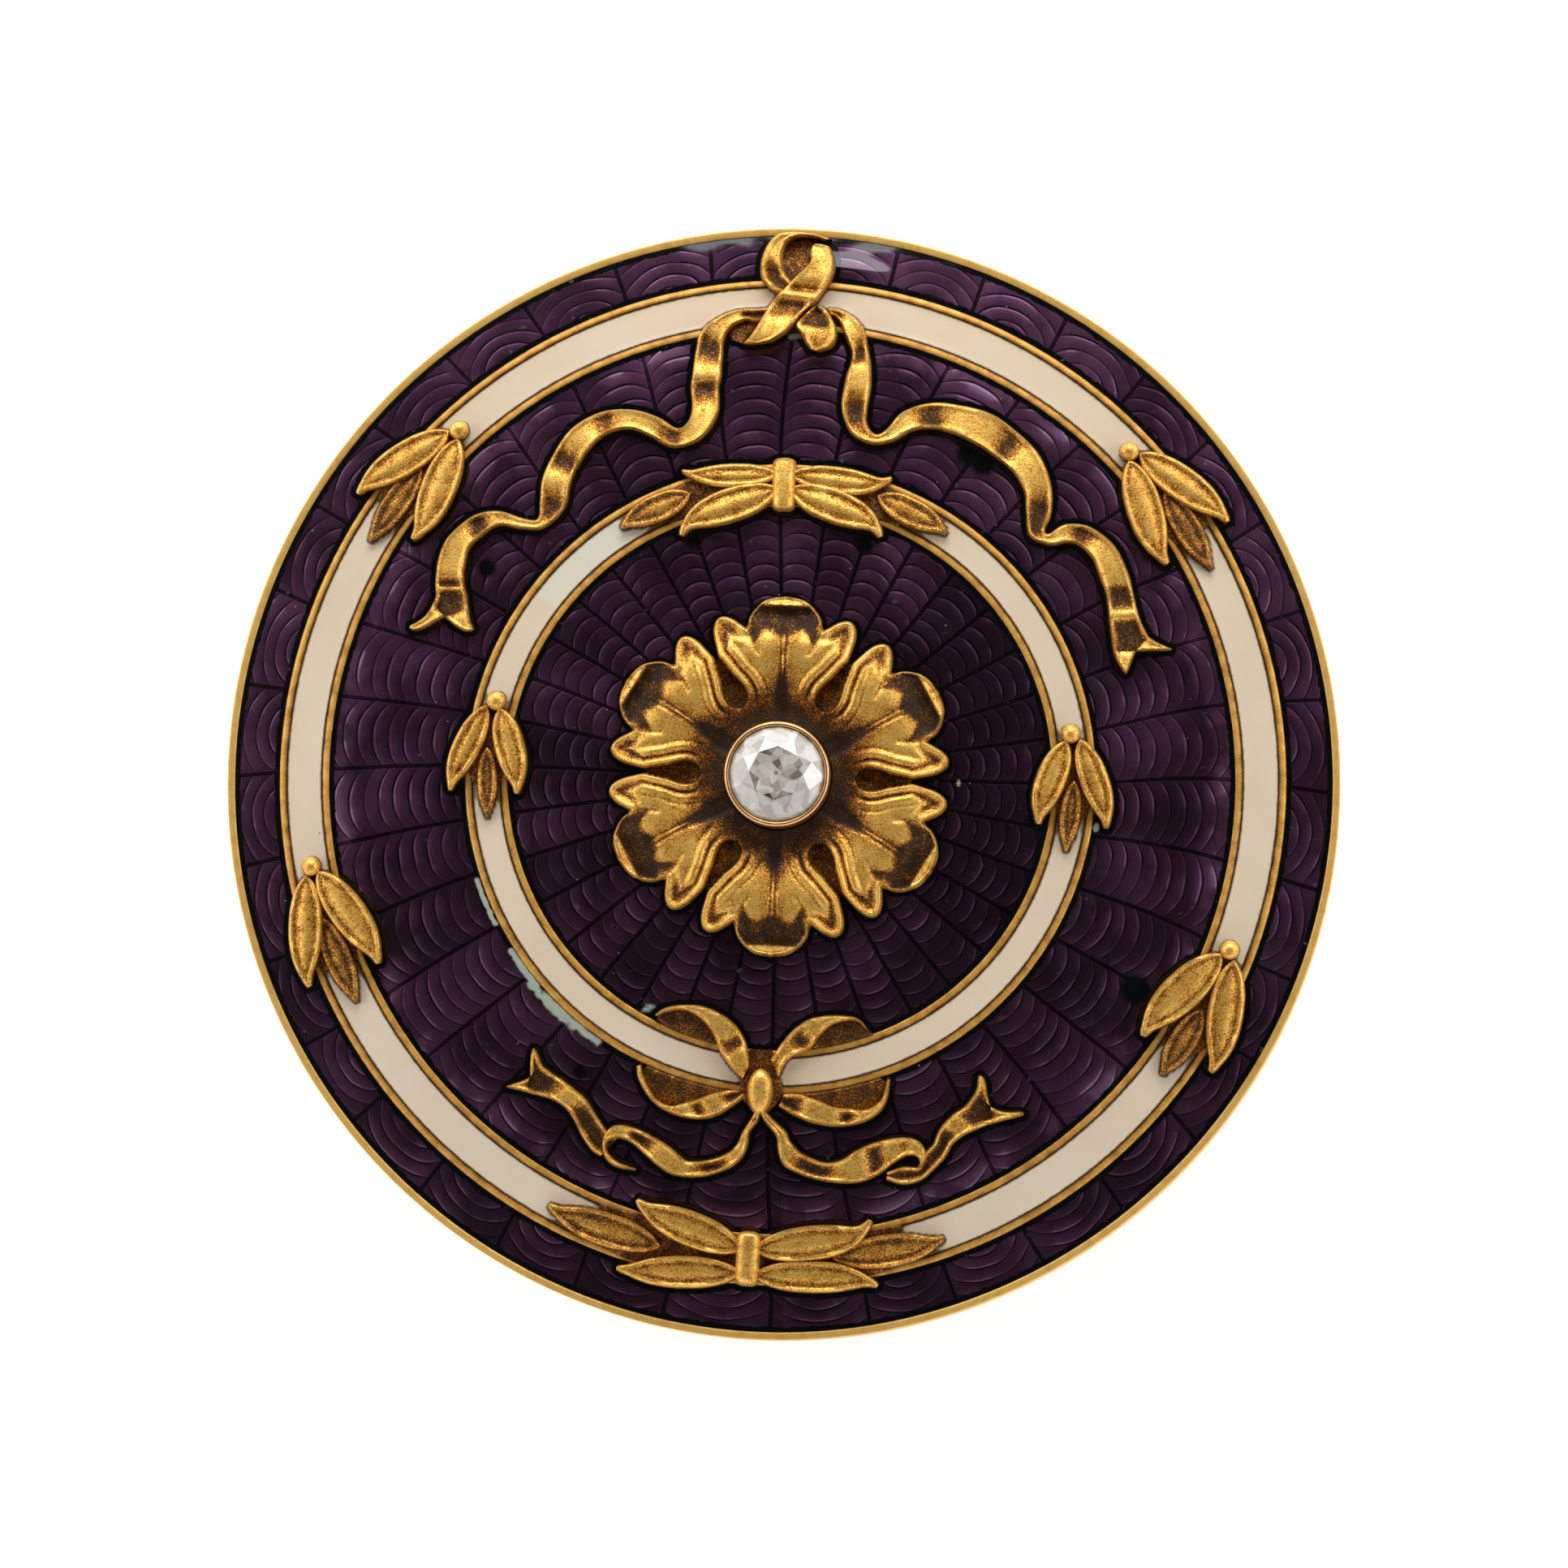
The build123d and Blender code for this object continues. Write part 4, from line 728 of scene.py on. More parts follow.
def bead(place):
    """Round bead of a spray, set in the enamel."""
    rows, columns = 14, 28
    fall = np.linspace(bead_crown, bead_foot, rows)[:, None]
    turn = np.linspace(0, 2 * pi, columns, endpoint=False)[None]
    middle = dome_height(hypot(*place), relief_foot) + bead_radius * bead_stand
    x = place[0] + bead_radius * np.sin(fall) * np.cos(turn)
    y = place[1] + bead_radius * np.sin(fall) * np.sin(turn)
    z = middle + bead_radius * np.cos(fall) + 0 * turn
    points = np.dstack([x, y, z]).reshape(-1, 3)
    points[-columns:, 2] = dome_height(hypot(*place), relief_foot)
    faces = grid_faces(rows, columns, close_columns=True)
    faces.append(list(range(columns)))
    faces.append(list(range((rows - 1) * columns, rows * columns)))
    patina = np.clip((fall - 1.3) * 1.5, 0.05, 1) + 0 * turn
    return points, faces, patina.ravel()


def bar(hoop, clock, middle_out, rows, width, length, height):
    """Rounded bar across a hoop, such as a tie or the bow's bead."""
    rows = eased(rows, 6)
    places = hoop_place(hoop, clock, 0 * rows[:, 0], middle_out + rows[:, 0] * length / 2 / hoop[1])
    return relief(cross_lines(places, rows[:, 1] * width), rows[:, 2] * height, round_section)


def turned(profile, patina, segments, clock_from=0.0, clock_to=360.0):
    """Ring from a closed section of radius and height, whole or between two clock angles."""
    profile = np.array(profile)
    whole = clock_to - clock_from >= 360.0
    count = segments if whole else segments + 1
    clocks = clock_from + (clock_to - clock_from) * np.arange(count) / segments
    places = clock_place(clocks[:, None], profile[None, :, 0])
    heights = np.broadcast_to(profile[None, :, 1], places.shape[:2])
    points = np.dstack([places, heights]).reshape(-1, 3)
    columns = len(profile)
    faces = grid_faces(count, columns, close_rows=whole, close_columns=True)
    if not whole:
        faces.append(list(range(columns)))
        faces.append(list(range((count - 1) * columns, count * columns)))
    return points, faces, np.tile(np.array(patina, float), count)


def mesh_of(name, shape):
    """Mesh of a shape, with the patina of its points stored."""
    points, faces, patina = shape
    mesh = bpy.data.meshes.new(name)
    mesh.from_pydata(points.tolist(), [], faces)
    mesh.attributes.new("patina", "FLOAT", "POINT").data.foreach_set("value", patina.astype(np.float32))
    return mesh


def placed(name, mesh):
    """Object at the origin with a mesh."""
    piece = bpy.data.objects.new(name, mesh)
    bpy.context.scene.collection.objects.link(piece)
    return piece


def closed(mesh, sharp_angle=55.0):
    """Closes a mesh's seams, turns its faces outwards and smooths all but its sharp edges."""
    shell = bmesh.new()
    shell.from_mesh(mesh)
    bmesh.ops.remove_doubles(shell, verts=shell.verts, dist=0.0005 * mm)
    bmesh.ops.recalc_face_normals(shell, faces=shell.faces)
    shell.to_mesh(mesh)
    shell.free()
    mesh.shade_smooth()
    mesh.set_sharp_from_angle(angle=radians(sharp_angle))
    return mesh


def new_piece(name, shape, sharp_angle=55.0):
    """Finished object at the origin from a shape."""
    return placed(name, closed(mesh_of(name, shape), sharp_angle))


def set_in_place(piece, node, material):
    """Lets a finished piece stand for its node and material."""
    piece.data.materials.clear()
    piece.data.materials.append(material)
    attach(piece, "root")
    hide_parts(node)


# Materials
class Wire:
    """One value inside a tree of nodes. Plain arithmetic on it adds the nodes."""

    def __init__(self, socket):
        self.socket = socket
        self.tree = socket.id_data

    def __add__(self, other):
        return node(self.tree, "ShaderNodeMath", {0: self, 1: other}, operation="ADD")

    def __sub__(self, other):
        return node(self.tree, "ShaderNodeMath", {0: self, 1: other}, operation="SUBTRACT")

    def __rsub__(self, other):
        return node(self.tree, "ShaderNodeMath", {0: other, 1: self}, operation="SUBTRACT")

    def __mul__(self, other):
        return node(self.tree, "ShaderNodeMath", {0: self, 1: other}, operation="MULTIPLY")


def linear(colour):
    """Linear colour from an sRGB hex value."""
    values = [int(colour[index : index + 2], 16) / 255 for index in (1, 3, 5)]
    return [v / 12.92 if v <= 0.04045 else ((v + 0.055) / 1.055) ** 2.4 for v in values] + [1.0]


def node(tree, kind, inputs=None, output=0, stops=(), **settings):
    """Adds a node with its settings, links or sets its inputs, and returns one output.

    Stops are the places and hex values of a colour ramp, in their order.
    """
    made = tree.nodes.new(kind)
    for index, (place, colour) in enumerate(stops):
        elements = made.color_ramp.elements
        stop = elements[index] if index < len(elements) else elements.new(place)
        stop.position = place
        stop.color = linear(colour)
    for name, value in settings.items():
        setattr(made, name, value)
    for socket, value in (inputs or {}).items():
        if isinstance(value, Wire):
            tree.links.new(value.socket, made.inputs[socket])
        else:
            made.inputs[socket].default_value = value
    return Wire(made.outputs[output]) if made.outputs else made


def new_material(name):
    """Empty material, its tree and the place on the object."""
    material = bpy.data.materials.new(name)
    material.use_nodes = True
    tree = material.node_tree
    tree.nodes.clear()
    return material, tree, node(tree, "ShaderNodeTexCoord", output="Object")


def at_size(place, size_mm, **more):
    """Inputs of a pattern at a real size."""
    return {"Vector": place, "Scale": 1 / (size_mm * mm), **more}


def span(value, low, high, first, last):
    """Inputs of a change from the first to the last value as another runs from low to high."""
    return {"Value": value, "From Min": low, "From Max": high, "To Min": first, "To Max": last}


# Settings of a soft change, of a clamped product and sum, and of a change of colour
smooth = {"interpolation_type": "SMOOTHSTEP"}
product_and_sum = {"operation": "MULTIPLY_ADD", "use_clamp": True}
tinting = {"output": 2, "data_type": "RGBA"}


def gold(name, stops, roughness_range, metal_range, grain_mm, grain_depth_mm, speckle):
    """Gold with brown patina in its recesses and bare metal on its worn edges."""
    material, tree, place = new_material(name)
    grain = node(tree, "ShaderNodeTexNoise", at_size(place, grain_mm, Detail=2.0))
    blotches = node(tree, "ShaderNodeTexNoise", at_size(place, 0.45, Detail=4.0)) * 0.8 - 0.38
    patina = node(tree, "ShaderNodeAttribute", output="Fac", attribute_name="patina")
    specks = grain * speckle - 0.5 * speckle
    worn = node(tree, "ShaderNodeMath", {0: patina + specks, 1: blotches}, operation="ADD", use_clamp=True)
    low, high = roughness_range
    roughness = node(tree, "ShaderNodeMapRange", {"Value": worn, "To Min": low, "To Max": high})
    bare, dull = metal_range
    limits = {"Value": worn, "From Min": 0.5, "To Min": bare, "To Max": dull}
    metal = node(tree, "ShaderNodeMapRange", limits)
    colour = node(tree, "ShaderNodeValToRGB", {"Fac": worn}, stops=stops)
    grit = {"Height": grain, "Strength": 1.0, "Distance": grain_depth_mm * mm}
    look = {"Base Color": colour, "Roughness": roughness, "Metallic": metal}
    shader = node(tree, "ShaderNodeBsdfPrincipled", {**look, "Normal": node(tree, "ShaderNodeBump", grit)})
    node(tree, "ShaderNodeOutputMaterial", {"Surface": shader})
    return material


# Cast 14-carat gold, bloomed to a matt grain: brown in the recesses, bare and
# brighter along the edges that are touched. The real grain is about half as
# coarse and wouldn't show
bloomed_stops = [(0, "#ffcf6a"), (0.25, "#e2a03e"), (0.5, "#99601f"), (0.75, "#4e2f0c"), (1, "#281706")]
bloomed_gold = gold("bloomed_cast_gold", bloomed_stops, (0.40, 0.62), (0.66, 0.45), 0.064, 0.012, 1.5)
# The plate's own gold, drawn and polished: the same metal with less bloom
plate_stops = [(0, "#f4c46a"), (0.3, "#daa042"), (0.6, "#905c1c"), (1, "#321e09")]
plate_gold = gold("satin_plate_gold", plate_stops, (0.44, 0.60), (0.42, 0.40), 0.05, 0.003, 0.5)
# The collet is turned and burnished from a redder gold
collet_stops = [(0, "#f5c48a"), (0.35, "#da9f5f"), (0.7, "#8c5a2b"), (1, "#33200c")]
collet_gold = gold("burnished_rose_gold", collet_stops, (0.30, 0.50), (1.0, 0.70), 0.05, 0.001, 0.3)

# Engine turning: rays round the face, pitch of the arcs and of the half rounds
# along the rim in mm, how far the hand-led cuts stray in mm
ray_count = 36
arc_pitch = 0.55
round_pitch = 0.44
stray = 0.18


def purple_enamel():
    """Translucent purple glass over engine-turned gold: cells of nested arcs under a clear gloss."""
    material, tree, place = new_material("purple_basse_taille_enamel")
    sway = node(tree, "ShaderNodeTexNoise", at_size(place, 1.6, Detail=1.0), "Color")
    right, up = (node(tree, "ShaderNodeSeparateXYZ", {0: place}, i) for i in (0, 1))
    sway_right, sway_up = (node(tree, "ShaderNodeSeparateXYZ", {0: sway}, i) for i in (0, 1))
    x = right * (1 / mm) + (sway_right - 0.5) * stray
    y = up * (1 / mm) + (sway_up - 0.5) * stray
    radius = node(tree, "ShaderNodeMath", {0: x * x + y * y}, operation="SQRT")
    turn = node(tree, "ShaderNodeMath", {0: right, 1: up}, operation="ARCTAN2")
    drift = node(tree, "ShaderNodeTexNoise", at_size(place, 9.0, Detail=0.0)) * 0.5 - 0.25
    sector = turn * (ray_count / (2 * pi)) - 0.15 + drift
    cell = node(tree, "ShaderNodeMath", {0: sector}, operation="FLOOR")
    aside = node(tree, "ShaderNodeMath", {0: sector - cell - 0.5}, operation="ABSOLUTE")
    width = radius * (2 * pi / ray_count)
    chance = node(tree, "ShaderNodeTexWhiteNoise", {"W": cell}, noise_dimensions="1D")

    # Arcs that rise in the middle of each cell, in the field and the centre
    curve = node(tree, "ShaderNodeMath", {0: aside * 2.0, 1: 2.5}, operation="POWER")
    arcs = (curve * width * 0.20 + radius) * (1 / arc_pitch) + chance * 7.0
    # Flattened half rounds about the hoop, in the band along the rim
    sideways = aside * width * (1 / 1.35)
    above = radius - ((outer_hoop_outer + border_width) / mm - 0.2)
    reach = node(tree, "ShaderNodeMath", {0: sideways * sideways + above * above}, operation="SQRT")
    rounds = reach * (1 / round_pitch) + chance * 0.7
    in_band = node(tree, "ShaderNodeMath", {0: radius, 1: outer_hoop[0] / mm}, operation="GREATER_THAN")
    phase = node(tree, "ShaderNodeMix", {"Factor": in_band, "A": arcs, "B": rounds}, data_type="FLOAT")
    wave = node(tree, "ShaderNodeMath", {0: phase}, operation="FRACT")

    # Each arc is a thin cut, painted dark as its shadow, with a painted highlight on the raised edge along
    # its inner side
    cut = node(tree, "ShaderNodeMapRange", span(wave, 0.03, 0.16, 1.0, 0.0), **smooth)
    risen = node(tree, "ShaderNodeMapRange", span(wave, 0.78, 0.92, 0.0, 1.0), **smooth)
    burr_highlight = risen * node(tree, "ShaderNodeMapRange", span(wave, 0.96, 1.0, 1.0, 0.0), **smooth)
    slope = node(tree, "ShaderNodeMapRange", span(wave, 0.10, 0.95, 0.0, 1.0), **smooth)
    quarter = node(tree, "ShaderNodeMath", {0: phase * 4.0}, operation="FRACT")
    fine = node(tree, "ShaderNodeMapRange", span(quarter, 0.0, 0.35, 1.0, 0.0), **smooth)
    fade = 1.0 - node(tree, "ShaderNodeMath", {0: aside * 2.0, 1: 5.0}, operation="POWER")
    patchy = node(tree, "ShaderNodeTexNoise", at_size(place, 1.1, Detail=2.0))
    weight = fade * node(tree, "ShaderNodeMapRange", span(patchy, 0.38, 0.62, 0.25, 1.0), **smooth)
    to_line = (0.5 - aside) * width
    line = node(tree, "ShaderNodeMapRange", span(to_line, 0.05, 0.085, 1.0, 0.0), **smooth)
    ray = line - node(tree, "ShaderNodeMapRange", span(to_line, 0.0, 0.025, 0.55, 0.0), **smooth)

    # Beside the raised gold the glass lies deep and is painted nearly black, partly its own deep colour and
    # partly painted shadow of the gold
    to_gold = node(tree, "ShaderNodeAttribute", output="Fac", attribute_name="gold_distance")
    ragged = to_gold + (node(tree, "ShaderNodeTexNoise", at_size(place, 0.30, Detail=2.0)) * 0.16 - 0.08)
    gold_shadow = node(tree, "ShaderNodeMapRange", span(ragged, 0.16, 0.23, 1.0, 0.0), **smooth)
    deep = node(tree, "ShaderNodeAttribute", output="Fac", attribute_name="deep")
    dark = node(tree, "ShaderNodeMath", {0: gold_shadow, 1: deep}, operation="MAXIMUM")

    # A lighter haze lies at the outer end of the field's cells, and the lower
    # right of the centre is in shade
    to_end = node(tree, "ShaderNodeMath", {0: radius - (field_outer / mm - 0.45)}, operation="ABSOLUTE")
    at_end = node(tree, "ShaderNodeMapRange", span(to_end, 0.0, 0.75, 1.0, 0.0), **smooth)
    haze = at_end * node(tree, "ShaderNodeMapRange", span(patchy, 0.40, 0.65, 0.3, 1.0), **smooth)
    # Painted light and shade of the cuts: dark in the cuts, lighter up each facet towards its highlighted
    # edge
    engraving_light_and_shade = (slope * 0.16 + burr_highlight * 0.23 - fine * 0.05 - cut * 0.42) * weight
    cloud = node(tree, "ShaderNodeTexNoise", at_size(place, 2.6, Detail=3.0))
    glass = cloud * 0.52 + 0.01 + chance * 0.08 + haze * 0.25
    lined = node(tree, "ShaderNodeMath", {0: ray, 1: -0.40, 2: glass + engraving_light_and_shade}, **product_and_sum)
    on_right = node(tree, "ShaderNodeMapRange", span(x, 3.0, 8.0, 0.0, 1.0), **smooth)
    shaded = on_right * node(tree, "ShaderNodeMapRange", span(radius, 9.8, 10.4, 1.0, 0.0), **smooth)
    tone = node(tree, "ShaderNodeMath", {0: shaded, 1: -0.13, 2: lined}, **product_and_sum)
    stops = [(0, "#0d050b"), (0.3, "#341e2f"), (0.6, "#633f5b"), (1, "#ac8aa8")]
    colour = node(tree, "ShaderNodeValToRGB", {"Fac": tone}, stops=stops)
    # Painted shadow beside the gold, with the dark spots
    colour = node(tree, "ShaderNodeMix", {"Factor": dark, "A": colour, "B": linear("#060808")}, **tinting)

    # Pale deposits with frayed edges, and specks of dust
    dust = node(tree, "ShaderNodeTexNoise", at_size(place, 1.7, Detail=0.0))
    dusty = node(tree, "ShaderNodeMath", {0: dust, 1: 0.55}, operation="GREATER_THAN")
    to_speck = node(tree, "ShaderNodeTexVoronoi", at_size(place, 0.8), "Distance")
    specks = node(tree, "ShaderNodeMapRange", span(to_speck, 0.02, 0.05, 0.5, 0.0), **smooth) * dusty
    pale = node(tree, "ShaderNodeAttribute", output="Fac", attribute_name="pale")
    frayed = pale + (node(tree, "ShaderNodeTexNoise", at_size(place, 0.32, Detail=3.0)) * 1.6 - 0.8)
    deposit = node(tree, "ShaderNodeMapRange", span(frayed, 0.28, 0.95, 0.0, 0.88), **smooth)
    crust = node(tree, "ShaderNodeMath", {0: deposit, 1: specks}, operation="MAXIMUM")
    colour = node(tree, "ShaderNodeMix", {"Factor": crust, "A": colour, "B": linear("#b3beac")}, **tinting)

    # The gold under the glass shows as a soft metallic sheen with the cuts in it
    clear = 1.0 - dark
    engraved = ((slope * 0.5 - cut) * weight - ray * 0.8) * clear
    bare = node(tree, "ShaderNodeMath", {0: clear, 1: crust}, operation="SUBTRACT", use_clamp=True)
    cuts = node(tree, "ShaderNodeBump", {"Height": engraved, "Strength": 0.5, "Distance": 0.03 * mm})
    swell = node(tree, "ShaderNodeTexNoise", at_size(place, 1.8, Detail=1.0))
    pool = node(tree, "ShaderNodeBump", {"Height": swell, "Strength": 0.35, "Distance": 0.05 * mm})
    metal = {"Metallic": bare * 0.7, "Roughness": 0.40, "Specular IOR Level": 0.0, "Normal": cuts}
    gloss = {"Coat Weight": 1.0, "Coat Roughness": 0.04, "Coat Normal": pool}
    shader = node(tree, "ShaderNodeBsdfPrincipled", {"Base Color": colour, **metal, **gloss})
    node(tree, "ShaderNodeOutputMaterial", {"Surface": shader})
    return material


def cream_enamel():
    """Opaque cream enamel, fired smooth, with pinholes and a paler mended stretch."""
    material, tree, place = new_material("opaque_cream_enamel")
    # Painted light: the cream is painted lighter towards the bottom and darker towards the top, for how the
    # light falls on it; the noise mottles it
    height = node(tree, "ShaderNodeSeparateXYZ", {0: place}, 1) * (0.25 / brooch_radius) + 0.30
    cloud = node(tree, "ShaderNodeTexNoise", at_size(place, 2.6, Detail=3.0)) * 0.5
    mottle_and_painted_light = node(tree, "ShaderNodeMath", {0: cloud, 1: height}, operation="ADD", use_clamp=True)
    stops = [(0, "#f8e8d0"), (0.45, "#ead8bd"), (0.75, "#e2cdaf"), (1, "#e4c9ab")]
    colour = node(tree, "ShaderNodeValToRGB", {"Fac": mottle_and_painted_light}, stops=stops)
    mended = node(tree, "ShaderNodeAttribute", output="Fac", attribute_name="pale")
    colour = node(tree, "ShaderNodeMix", {"Factor": mended, "A": colour, "B": linear("#dfdac6")}, **tinting)
    to_gold = node(tree, "ShaderNodeAttribute", output="Fac", attribute_name="gold_distance")
    ragged = to_gold + (node(tree, "ShaderNodeTexNoise", at_size(place, 0.2, Detail=1.0)) * 0.05 - 0.025)
    brown = node(tree, "ShaderNodeMapRange", span(ragged, 0.02, 0.10, 1.0, 0.0), **smooth)
    colour = node(tree, "ShaderNodeMix", {"Factor": brown, "A": colour, "B": linear("#6e5637")}, **tinting)
    to_pit = node(tree, "ShaderNodeTexVoronoi", at_size(place, 0.9), "Distance")
    pits = node(tree, "ShaderNodeMath", {0: to_pit, 1: 0.05}, operation="LESS_THAN")
    pitted = node(tree, "ShaderNodeTexNoise", at_size(place, 1.1, Detail=0.0))
    few = node(tree, "ShaderNodeMath", {0: pitted, 1: 0.55}, operation="GREATER_THAN")
    holes = {"Factor": pits * few * 0.6, "A": colour, "B": linear("#5a4030")}
    colour = node(tree, "ShaderNodeMix", holes, **tinting)
    swell = node(tree, "ShaderNodeTexNoise", at_size(place, 1.2, Detail=1.0))
    pool = node(tree, "ShaderNodeBump", {"Height": swell, "Strength": 0.3, "Distance": 0.03 * mm})
    gloss = {"Coat Weight": 0.5, "Coat Roughness": 0.06, "Coat Normal": pool}
    look = {"Base Color": colour, "Roughness": 0.30, "Normal": pool, **gloss}
    shader = node(tree, "ShaderNodeBsdfPrincipled", look)
    node(tree, "ShaderNodeOutputMaterial", {"Surface": shader})
    return material


def cut_diamond():
    """Clear stone with painted reflections: each face of the cut is painted the grey of the light it
    returns, with painted glints and diamond's strong gloss over it.
    """
    material, tree, place = new_material("old_cut_diamond")
    flashes = node(tree, "ShaderNodeTexVoronoi", at_size(place, 0.36), "Color")
    glint = node(tree, "ShaderNodeSeparateXYZ", {0: flashes}, 0)
    facet_reflection = node(tree, "ShaderNodeAttribute", output="Fac", attribute_name="facet_reflection")
    tone = node(tree, "ShaderNodeMath", {0: glint, 1: 0.62, 2: facet_reflection - 0.29}, **product_and_sum)
    stops = [(0, "#4a3b2c"), (0.25, "#958a7d"), (0.55, "#cfc6ba"), (0.85, "#e2dbd0"), (1, "#f0ebe3")]
    colour = node(tree, "ShaderNodeValToRGB", {"Fac": tone}, stops=stops)
    clear = {"Roughness": 0.03, "IOR": 2.42, "Transmission Weight": 0.15}
    shader = node(tree, "ShaderNodeBsdfPrincipled", {"Base Color": colour, **clear})
    node(tree, "ShaderNodeOutputMaterial", {"Surface": shader})
    return material


purple = purple_enamel()
cream = cream_enamel()
diamond_cut = cut_diamond()


# Gold plate with its rim, foot and the borders of the hoops
def plate_section():
    """Closed section of the plate, as radius, height and patina."""
    section = []

    def along_face(inner, outer, lift, patina, count):
        for radius in np.linspace(inner, outer, count):
            section.append((radius, dome_height(radius, lift), patina))

    def border(inner, cream_outside):
        for share, drop, patina in border_rows if cream_outside else reversed(border_rows):
            radius = inner + (share if cream_outside else 1 - share) * border_width
            section.append((radius, dome_height(radius, -drop * mm), patina))

    along_face(light_hole_radius, seat_radius, 0.0, 0.6, 6)
    along_face(seat_radius, centre_outer, enamel_floor, 0.5, 12)
    border(centre_outer, True)
    along_face(inner_hoop_inner, inner_hoop_outer, enamel_floor, 0.5, 3)
    border(inner_hoop_outer, False)
    along_face(field_inner, field_outer, enamel_floor, 0.5, 10)
    border(field_outer, True)
    along_face(outer_hoop_inner, outer_hoop_outer, enamel_floor, 0.5, 3)
    border(outer_hoop_outer, False)
    along_face(outer_hoop_outer + border_width, face_radius, enamel_floor, 0.5, 4)
    quarter = np.linspace(0, pi / 2, 5)
    section.append((face_radius, rim_height - edge_round, 0.3))
    for fall in quarter:
        height = rim_height - edge_round * (1 - sin(fall))
        section.append((face_radius + edge_round * (1 - cos(fall)), height, 0.05))
    for fall in quarter:
        radius = brooch_radius - edge_round * (1 - sin(fall))
        section.append((radius, rim_height - edge_round * (1 - cos(fall)), 0.0))
    foot_inner = brooch_radius - foot_width
    section.append((brooch_radius, foot_height, 0.12))
    section.append((brooch_radius, edge_round, 0.15))
    section.append((brooch_radius - edge_round, 0.0, 0.15))
    section.append((foot_inner + edge_round, 0.0, 0.15))
    section.append((foot_inner, edge_round, 0.2))
    section.append((foot_inner, foot_height - edge_round, 0.4))
    along_face(foot_inner - 0.1 * mm, light_hole_radius, plate_under, 0.2, 28)
    return np.array(section)


plate = plate_section()
back_plate = new_piece("struck_back_plate", turned(plate[:, :2], plate[:, 2], 480))
set_in_place(back_plate, "back_plate", plate_gold)

# Cast gold on the face
tail_end_height = ribbon_height * 0.85
knot_band_height = knot_height * 0.8
left_end = edged(left_ribbon_end, left_ribbon_fork)
right_end = edged(right_ribbon_end, right_ribbon_fork)
left_ribbon = [edged(left_ribbon_start), ribbon_rows(left_ribbon_rows), left_end]
right_ribbon = [edged(right_ribbon_start), ribbon_rows(right_ribbon_rows), right_end]
left_tail = [edged(left_tail_end_rows, left_tail_fork)]
right_tail = [edged(right_tail_end_rows, right_tail_fork)]
bow_bead_size = (bow_bead_width, bow_bead_length, bow_bead_height)
bow_bead = bar(inner_hoop, bow_clock, bow_bead_out, bow_bead_rows, *bow_bead_size)
cast_shapes = {
    "ribbon_left": forked(left_ribbon, left_ribbon_points, ribbon_height),
    "ribbon_right": forked(right_ribbon, right_ribbon_points, ribbon_height),
    "bow_tail_left": [*forked(left_tail, left_tail_points, tail_end_height), measured(left_tail_rows)],
    "bow_tail_right": [*forked(right_tail, right_tail_points, tail_end_height), measured(right_tail_rows)],
    "ribbon_knot": [
        band([ribbon_rows(knot_ground_rows)], web_height, ground_section),
        measured(knot_fold_rows, web_height, ground_section),
        measured(knot_loop_rows, knot_band_height, knot_section),
        measured(knot_lobe_rows, knot_band_height, knot_section),
        measured(knot_strap_rows, knot_height, knot_section),
    ],
    "bow": [
        *[measured(rows, web_height, ground_section) for rows in bow_grounds],
        *[measured(rows) for rows in bow_loops],
        bow_bead,
    ],
}
for name, hoop, clock, sense, leaf_rows in beaded_sprays:
    leaves = [leaf(hoop, clock, sense, row) for row in leaf_rows]
    pinned = bead(hoop_place(hoop, clock, 0.0, 0.0))
    cast_shapes[name] = [web(hoop, clock, sense, beaded_web_rows), *leaves, pinned]
for name, hoop, clock, sense, leaf_rows in tied_sprays:
    leaves = [leaf(hoop, clock, sense, row) for row in leaf_rows]
    tie = bar(hoop, clock, 0.0, tie_rows, tie_width, tie_length, tie_height)
    cast_shapes[name] = [web(hoop, clock, sense, tied_web_rows), *leaves, tie]


# The rosette
def outline_points(rows, steps):
    """Places along an outline of degrees from a petal's axis and shares of the radius."""
    smooth = eased(rows, steps)
    return clock_place(smooth[:, 0], smooth[:, 1] * rosette_radius)


def distance_to(points, path):
    """Distance from each point to the nearest point of a close row of places."""
    return np.min(np.linalg.norm(points[:, None] - path[None], axis=2), axis=1)


def crowded(count):
    """Shares from 0 to 1 that lie closer and closer together."""
    return 1 - (1 - np.linspace(0, 1, count)) ** 1.5


def petal_grid():
    """Clock angles and shares of the radius over half a petal, from its axis to its neighbour."""
    meet_share, meet_clock = eye_side[-1]
    hole_share = (collet_radius + 0.05 * mm) / rosette_radius
    inner_shares = np.linspace(hole_share, meet_share, 42)
    side = eased(eye_side, 8)
    side_clocks = np.interp(inner_shares, side[:, 0], side[:, 1], left=180 / petal_count)
    across = crowded(38)
    inner_clocks = side_clocks[:, None] * across
    outline = eased(petal_outline, 8)
    outline_shares = np.interp(meet_clock * across, outline[:, 0], outline[:, 1])
    climb = crowded(40)[1:, None]
    outer_shares = meet_share + climb * (outline_shares - meet_share)
    outer_clocks = np.broadcast_to(meet_clock * across, outer_shares.shape)
    inner_shares = np.broadcast_to(inner_shares[:, None], inner_clocks.shape)
    return np.vstack([inner_clocks, outer_clocks]), np.vstack([inner_shares, outer_shares])


